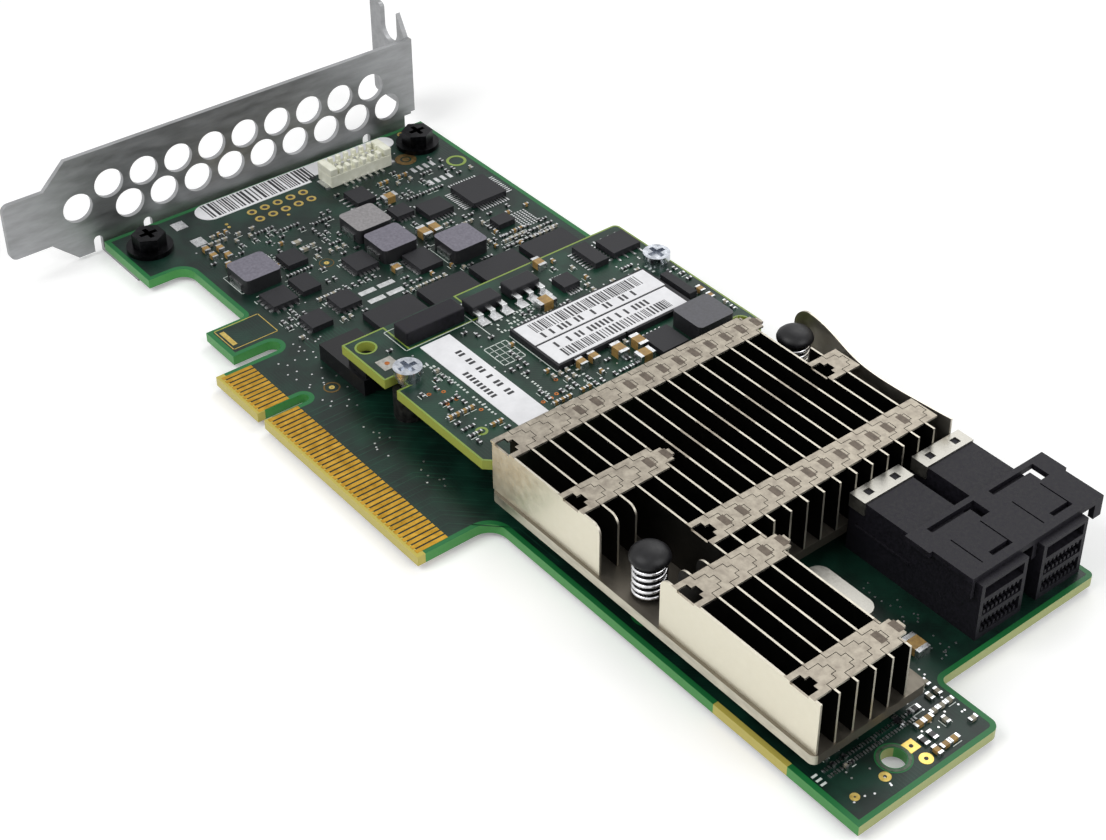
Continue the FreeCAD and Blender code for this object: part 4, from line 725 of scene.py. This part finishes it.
def field(seed, x_range, y_range, level, pitch, share, length=1.0, width=0.5):
    """Chip parts on a grid, in small groups that lie the same way."""
    chance = random.Random(seed)
    columns = int((x_range[1] - x_range[0]) / pitch[0])
    lines = int((y_range[1] - y_range[0]) / pitch[1])
    for column in range(columns + 1):
        along_x, kind = chance.random() < 0.5, chance.choice(MIX)
        for line in range(lines + 1):
            if chance.random() < 0.2:
                along_x = not along_x
                kind = chance.choice(MIX)
            x, y = x_range[0] + column * pitch[0], y_range[0] + line * pitch[1]
            if chance.random() < share and is_free(x, y, level, 0.75):
                chip_part(kind, x, y, level, length, width, along_x,
                          chance.random() < LEGEND_SHARE)


field(1, (-46.0, -12.0), (15.4, 67.0), TOP, (1.75, 1.3), 0.46)
field(2, (99.8, 109.4), (33.2, 36.9), TOP, (2.0, 1.4), 0.75, 1.3, 0.65)
field(3, (102.0, 109.4), (28.6, 32.4), TOP, (2.2, 1.5), 0.85, 1.6, 0.8)
field(4, (100.6, 104.2), (17.2, 20.0), TOP, (1.3, 1.0), 0.6, 0.7, 0.4)
field(5, (107.6, 109.4), (22.8, 25.2), TOP, (1.0, 1.0), 0.8, 0.6, 0.4)
field(6, (1.0, 33.0), (16.6, 67.5), DECK, (1.7, 1.25), 0.42)
field(7, (-16.2, -13.0), (55.5, 66.6), TOP, (1.5, 0.95), 0.9, 0.9, 0.45)
for x in (-35.9, -33.5):
    chip_part("grey", x, 29.3, TOP, 1.7, 0.9, False)
finish_piece("chip_resistors", parts["resistor_bodies"], resistor_glaze)
finish_piece("small_tan_capacitors", parts["tan_bodies"], ceramic_tan)
finish_piece("small_grey_capacitors", parts["grey_bodies"], ceramic_grey)
finish_piece("part_ends", parts["part_ends"], tin_plate)

# %% [markdown]
# Where the fins are zipped together, the tongue of one fin lies in a slot of the
# next, so each bay of a row shows a small darker field, which is drawn as a thin
# plate. A ray cast down on the fins tells where a row has metal under it.

# %% Zip rows
FIRST_FIN, FIN_PITCH, FIN_TOP = 13.85, 3.05, 12.5
fin_trees = [top_tree(name) for name in ("fins_main", "fins_cross")]
fields = bmesh.new()
for row in ROWS:
    for bay in range(-1, 18):
        y = FIRST_FIN + FIN_PITCH * bay + 1.35
        for tree in fin_trees:
            above = Vector((mm(row - 0.9), mm(y), mm(FIN_TOP + 0.5)))
            hit = tree.ray_cast(above, (0, 0, -1), mm(1))[0]
            if hit is not None:
                block(fields, (row - 1.0, row + 1.0), (y - 0.55, y + 0.55), (12.4, 12.52))
                break
finish_piece("zip_row_fields", fields, row_recess)

# %% [markdown]
# White ink is screened on the boards last: lines that show where a part goes. The
# cache board carries a frame round its connector, a grid and two lines, and each
# driver chip has a line at two sides. Words and marks of the maker are left out,
# and plain strokes take their place.

# %% Printed lines
legend = parts["legend_lines"]


def strokes(mesh, seed, x, y, level, size, pitch, share=0.72):
    """Rows of plain strokes where print would be. They spell nothing."""
    chance = random.Random(seed)
    for line in range(int((x[1] - x[0]) / pitch[0]) + 1):
        for step in range(int((y[1] - y[0]) / pitch[1]) + 1):
            if chance.random() < share:
                left, low = x[0] + line * pitch[0], y[0] + step * pitch[1]
                block(mesh, (left, left + size[0]), (low, low + size[1]), (level, level + INK))


outline(legend, (14.4, 19.6), (30.2, 34.4), DECK)
for step in range(1, 4):
    block(legend, (14.4, 19.6), (30.2 + step * 1.05, 30.3 + step * 1.05), (DECK, DECK + INK))
    block(legend, (14.4 + step * 1.3, 14.5 + step * 1.3), (30.2, 34.4), (DECK, DECK + INK))
for x, y in (((7.5, 12.0), (33.3, 33.44)), ((14.0, 25.6), (35.3, 35.46))):
    block(legend, x, y, (DECK, DECK + INK))
outline(legend, (1.5, 7.54), (21.1, 33.44), DECK, 0.14)
for (left, right), (near, far), _ in islands("driver_chips"):
    block(legend, (left - 0.95, left - 0.8), (near, far), (TOP, INK))
    block(legend, (left, left + 0.9), (near - 0.95, near - 0.8), (TOP, INK))
STROKES = [
    (17, (9.6, 12.4), (35.0, 45.0), DECK, (0.5, 0.3), (0.9, 0.62), 0.6),
    (18, (20.0, 30.0), (24.2, 26.6), DECK, (0.32, 0.45), (0.66, 0.8), 0.55),
    (11, (12.0, 13.0), (17.0, 22.4), DECK, (0.5, 0.35), (0.9, 0.55)),
    (12, (16.6, 28.0), (22.0, 22.4), DECK, (0.35, 0.4), (0.75, 0.7)),
    (13, (22.6, 29.0), (30.9, 31.5), DECK, (0.3, 0.4), (0.62, 0.7)),
    (14, (15.0, 31.0), (37.0, 38.4), DECK, (0.3, 0.5), (0.7, 0.8), 0.5),
    (15, (12.6, 31.0), (62.6, 64.0), DECK, (0.35, 0.5), (0.9, 0.8), 0.4),
    (16, (101.6, 103.4), (13.8, 13.9), TOP, (0.35, 0.9), (0.8, 1.2), 1.0),
]
for stroke in STROKES:
    strokes(legend, *stroke)
outline(legend, (-34.9, -29.0), (14.6, 22.2), TOP, 0.12)
outline(legend, (-21.6, -15.0), (45.4, 53.4), TOP, 0.12)
finish_piece("legend_lines", legend, white_ink)

# %% [markdown]
# The paper labels carry bars like those that a scanner reads, in random widths, so
# they encode nothing, and plain strokes instead of words.

# %% Bars and strokes on the labels
ink = bmesh.new()


def bars(mesh, seed, x, y, level, thin, thick):
    """Bars across x, set one after another along y."""
    chance, here = random.Random(seed), y[0]
    while here < y[1]:
        width = chance.choice((thin, thin, thick, (thin + thick) / 2))
        block(mesh, x, (here, min(here + width, y[1])), (level, level + 0.01))
        here += width + chance.choice((thin, thin, thick))


strip = islands("board_label")[0]
bars(ink, 21, (strip[0][0] + 0.25, strip[0][0] + 4.7), (22.6, 43.4), strip[2][1], 0.22, 0.5)
caches = islands("cache_labels")
for index, (x, y, z) in enumerate(caches):
    lower, upper = (x[0] + 0.5, x[0] + 3.0), (x[0] + 3.3, x[0] + 4.7)
    if index:
        lower, upper = (x[0] + 2.6, x[0] + 4.7), (x[0] + 0.7, x[0] + 2.1)
    bars(ink, 22 + index, lower, (y[0] + 2.2, y[1] - 2.4), z[1], 0.16, 0.36)
    strokes(ink, 24 + index, (upper[0], upper[0] + 0.1), (y[0] + 2.4, y[1] - 4.0), z[1],
            (upper[1] - upper[0], 0.42), (2.0, 0.8))
tag = islands("deck_label")[0]
edge, face = tag[1][0], tag[2][1]
strokes(ink, 27, (12.4, 27.0), (edge + 3.2, edge + 3.3), face, (0.5, 1.1), (0.85, 2.0))
strokes(ink, 28, (17.4, 25.0), (edge + 0.9, edge + 1.0), face, (0.5, 1.0), (0.85, 2.0))
finish_piece("label_print", ink, ink_and_hole_shade)

# %% [markdown]
# Copper tracks run from the edge contacts to the big chip. They leave the contacts
# straight, turn by 45 degrees and then run side by side in pairs, so a loop draws
# them all: each one starts a contact further on and turns a little later. The
# lacquer over them is raised a little and looks slightly lighter.

# %% Tracks by the contacts
track_finish = moulded("lacquered_track", "#0D2C21", "#183F30", 0.3, 0.42, 3.0, 0.003,
                       Specular_IOR_Level=0.3)
tracks = bmesh.new()


def ribbon(mesh, points, width, level):
    """A flat ribbon through a few points, extruded one length after another."""
    across = []
    for here, there in zip(points, points[1:]):
        run = Vector(there) - Vector(here)
        across.append(Vector((-run.y, run.x)).normalized() * width / 2)
    across.append(across[-1])
    ends = [(Vector(p) + side, Vector(p) - side) for p, side in zip(points, across)]
    first = [mesh.verts.new((*p, level)) for p in ends[0]]
    edge = mesh.edges.new(first)
    for pair in ends[1:]:
        made = bmesh.ops.extrude_edge_only(mesh, edges=[edge])["geom"]
        edge = next(e for e in made if isinstance(e, bmesh.types.BMEdge)
                    and all(v not in first for v in e.verts))
        near = sorted(edge.verts, key=lambda v: (v.co.xy - pair[0]).length)
        near[0].co.xy, near[1].co.xy = pair
        first = list(edge.verts)


TRACKS, TRACK_WIDTH = 34, 0.2
for index in (n for n in range(TRACKS) if n % 6 not in (2, 5)):
    start = 3.5 + index
    turn = 7.2 + (TRACKS - index) * 0.22
    far = min(14.0 + (TRACKS - index) * 0.3, 22.0)
    reach = far - turn
    ribbon(tracks, [(start, 5.9), (start, turn), (start + reach, far), (start + reach + 9, far)],
           TRACK_WIDTH, LACQUER)
for index in range(12):
    y = 15.2 + index * 0.6
    ribbon(tracks, [(-12.0, y), (-4.0 + index * 0.5, y), (2.0 + index * 0.5, y + 6.0)],
           TRACK_WIDTH, LACQUER)
for index in range(14):
    x = 85.0 + index * 0.7
    ribbon(tracks, [(x, 40.0), (x, 37.0 - index * 0.1), (x + 5.0, 32.0 - index * 0.1)],
           TRACK_WIDTH, LACQUER)
finish_piece("lacquered_tracks", tracks, track_finish)

# %% [markdown]
# Vias are tiny plated holes that join the copper layers. Most are under the lacquer,
# and some stay bright. They sit in loose groups near the chips and the contacts,
# and they come out on the back, which also has pads for small parts without a part on them.

# %% Vias
vias = bmesh.new()
chance = random.Random(31)
GROUPS = [((-10, 30), (8.6, 12.6), 34, TOP), ((-13, 2), (13, 18), 22, TOP),
          ((-44, -14), (15, 66), 110, TOP), ((86, 100), (33.8, 44), 26, TOP),
          ((-55, -47), (44, 66), 10, TOP), ((99.5, 109), (14, 37), 46, TOP),
          ((2, 33), (17, 67), 120, DECK), ((77, 98), (40, 45), 20, TOP)]
for x_range, y_range, count, level in GROUPS:
    for _ in range(count):
        x, y = chance.uniform(*x_range), chance.uniform(*y_range)
        if is_free(x, y, level, 0.3):
            disc(vias, x, y, level, 0.32, 0.03, 8)
back = islands("main_board")[0][2][0]
for _ in range(260):
    x, y = chance.uniform(-50, 108), chance.uniform(16, 66)
    if is_on_board(x, y, TOP, 0.8):
        disc(vias, x, y, back - 0.03, 0.4, 0.04, 8)
for row in range(2):
    for step in range(9):
        x, y = 4.0 + 3.0 * row, 22.0 + 4.8 * step
        for end in (-0.55, 0.55):
            block(vias, (x + end - 0.25, x + end + 0.25), (y - 0.35, y + 0.35),
                  (back - PLATING, back))
finish_piece("bright_vias", vias, tin_plate)

# %% [markdown]
# Two push pins hold the heat sink. Each has a domed nylon cap on a shank, and a
# spring under the cap presses the sink down. The cap is half an outline spun round
# once. The spring is a small ring spun many times round with a rise per step, as a
# real one is wound, and its lowest turn is wound closer.

# %% Push pins and springs
PINS = [(67.8, 17.0), (45.0, 65.0)]
SPRING_LOW, CAP_LOW = 4.16, 10.0
STEPS_PER_TURN = 28
caps = bmesh.new()
for x, y in PINS:
    profile = [(0.0, 11.85), (0.9, 11.82), (1.7, 11.62), (2.3, 11.3), (2.68, 10.9), (2.85, 10.45),
               (2.8, 10.15), (2.55, CAP_LOW), (1.4, CAP_LOW), (1.4, 2.6), (1.4, -1.6),
               (1.9, -1.62), (1.1, -2.4), (0.0, -2.42)]
    points = [caps.verts.new((x + radius, y, height)) for radius, height in profile]
    seams = [caps.edges.new(pair) for pair in zip(points, points[1:])]
    bmesh.ops.spin(caps, geom=points + seams, cent=(x, y, 0), axis=(0, 0, 1),
                   angle=2 * math.pi, steps=40, use_merge=True)
bmesh.ops.remove_doubles(caps, verts=caps.verts, dist=0.001)
pins = finish_piece("domed_push_pins", caps, pin_nylon, True)
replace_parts(pins, "push_pins")

springs = bmesh.new()
for x, y in PINS:
    wire, radius = 0.27, 2.2
    rise = CAP_LOW - SPRING_LOW - 2 * wire
    for turns, height, low in ((1, 2 * wire, SPRING_LOW + wire),
                               (4.5, rise - 2 * wire, SPRING_LOW + 3 * wire)):
        steps = int(turns * STEPS_PER_TURN)
        upright = (Matrix.Translation((x + radius, y, low))
                   @ Matrix.Rotation(math.pi / 2, 4, "X"))
        made = bmesh.ops.create_circle(springs, segments=8, radius=wire,
                                       matrix=upright)["verts"]
        loop = {edge for vert in made for edge in vert.link_edges}
        bmesh.ops.spin(springs, geom=list(made) + list(loop), cent=(x, y, 0), axis=(0, 0, 1),
                       dvec=(0, 0, height / steps), angle=2 * math.pi * turns, steps=steps)
bmesh.ops.holes_fill(springs, edges=[e for e in springs.edges if e.is_boundary], sides=8)
coils = finish_piece("wound_springs", springs, spring_wire, True)
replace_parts(coils, "pin_springs")

# %% [markdown]
# The header for the battery lead is moulded in cream nylon. Its long walls have
# slots for the latch of the plug, which leaves a row of short posts, and its rim is
# rounded. It is drawn as a floor, two end blocks and two rows of posts.

# %% Battery header
(left, right), (near, far), (low, high) = islands("battery_header")[0]
POSTS, POST_HEIGHT, END_LENGTH = 6, 1.3, 1.5
root = high - POST_HEIGHT
header = bmesh.new()
block(header, (left, right), (near, far), (low, root))
for y in ((near, near + END_LENGTH), (far - END_LENGTH, far)):
    block(header, (left, right), y, (root, high))
step = (far - near - 2 * END_LENGTH) / POSTS
for index in range(POSTS):
    y = near + END_LENGTH + step * index
    block(header, (left, left + 0.8), (y + 0.3 * step, y + 0.8 * step), (root, high))
    block(header, (right - 1.2, right), (y + 0.2 * step, y + 0.7 * step), (root, high - 0.2))
for index in range(POSTS + 1):
    y = near + 1.2 + step * index
    block(header, (left + 1.5, left + 1.9), (y, y + 0.45), (root, high - 0.1))
bmesh.ops.bevel(header, geom=header.edges[:], offset=0.16, offset_type="OFFSET", segments=2,
                affect="EDGES", profile=0.5, material=-1)
cream = finish_piece("slotted_header", header, cream_nylon)
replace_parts(cream, "battery_header")

# %% [markdown]
# The card lies on a pale floor. The lamps are large and soft, as from a light
# tent, and their level is plain, so a colour renders about as it is written. The
# room looks white to the camera and in reflections, and the floor keeps its shadow.

# %% Floor, light and world
FLOOR_LIFT, FLOOR_HALF = 0.22, 6.0


def stage_floor():
    """A plain floor just under the card. Its lift is light that only pictures see."""
    low = cad_low.z - mm(0.01)
    mesh = bmesh.new()
    bmesh.ops.create_grid(mesh, x_segments=1, y_segments=1, size=FLOOR_HALF)
    bmesh.ops.translate(mesh, verts=mesh.verts, vec=(0, 0, low))
    data = bpy.data.meshes.new("floor")
    mesh.to_mesh(data)
    mesh.free()
    floor = bpy.data.objects.new("floor", data)
    bpy.context.scene.collection.objects.link(floor)
    material, tree, shader = new_finish("pale_floor", "#F6F6F5", 0.0, 0.8,
                                        Emission_Color=(1, 1, 1, 1))
    lift = both(tree, shown_rays(tree), FLOOR_LIFT)
    tree.links.new(lift[0].outputs[0], shader.inputs["Emission Strength"])
    data.materials.append(material)
    floor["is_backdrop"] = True


stage_floor()


CARD_MIDDLE = (30, 35, 0)


def soft_lamp(name, place, size, watts):
    """A square lamp, placed and sized in millimetres, that faces the card."""
    data = bpy.data.lights.new(name, "AREA")
    data.shape = "SQUARE"
    data.size = mm(size)
    data.energy = watts
    lamp = bpy.data.objects.new(name, data)
    lamp.location = [mm(v) for v in place]
    aim = Vector([mm(v) for v in CARD_MIDDLE]) - lamp.location
    lamp.rotation_euler = aim.to_track_quat("-Z", "Y").to_euler()
    bpy.context.scene.collection.objects.link(lamp)


soft_lamp("key_tent", (-60, -330, 420), 340, 1.5)
soft_lamp("side_tent", (430, 120, 330), 300, 0.9)
soft_lamp("back_tent", (-120, 380, 380), 320, 0.75)

world = bpy.data.worlds.new("pale_room")
bpy.context.scene.world = world
world.use_nodes = True
room = world.node_tree
sky = room.nodes["Background"]
sky.inputs["Color"].default_value = linear("#F3F4F6")
sky.inputs["Strength"].default_value = 0.32
plain = add_node(room, "Background", Color=(1, 1, 1, 1), Strength=1.0)
mixer = add_node(room, "MixShader", i0=shown_rays(room), i1=(sky, "Background"),
                 i2=(plain, "Background"))
room.links.new(mixer.outputs[0], room.nodes["World Output"].inputs["Surface"])
print("floor, lamps and room ready")

# %% [markdown]
# The camera stands past the drive connectors and looks back along the card, a
# little above it. The lens and a small shift frame the card as a catalogue would.

# %% Camera
lens = bpy.data.cameras.new("catalogue_lens")
lens.sensor_width = 36.0
lens.lens = 66.4
lens.shift_x = -0.0927
lens.shift_y = -0.0918
lens.clip_start, lens.clip_end = 0.01, 20.0
camera = bpy.data.objects.new("catalogue_camera", lens)
turn = Matrix(((0.65387, -0.45140, 0.60720), (0.75623, 0.36468, -0.54325),
               (0.02380, 0.81440, 0.57982)))
stand = Matrix.Translation([mm(v) for v in (213.903, -113.965, 187.464)])
camera.matrix_world = stand @ turn.to_4x4()
bpy.context.scene.collection.objects.link(camera)
bpy.context.scene.camera = camera
bpy.context.scene.view_settings.view_transform = "Standard"
print("lens", lens.lens, "mm")

# %% [markdown]
# Last comes the box of the finished card; the box of the solids was found at the start.

# %% Box of the finished card
low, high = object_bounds()
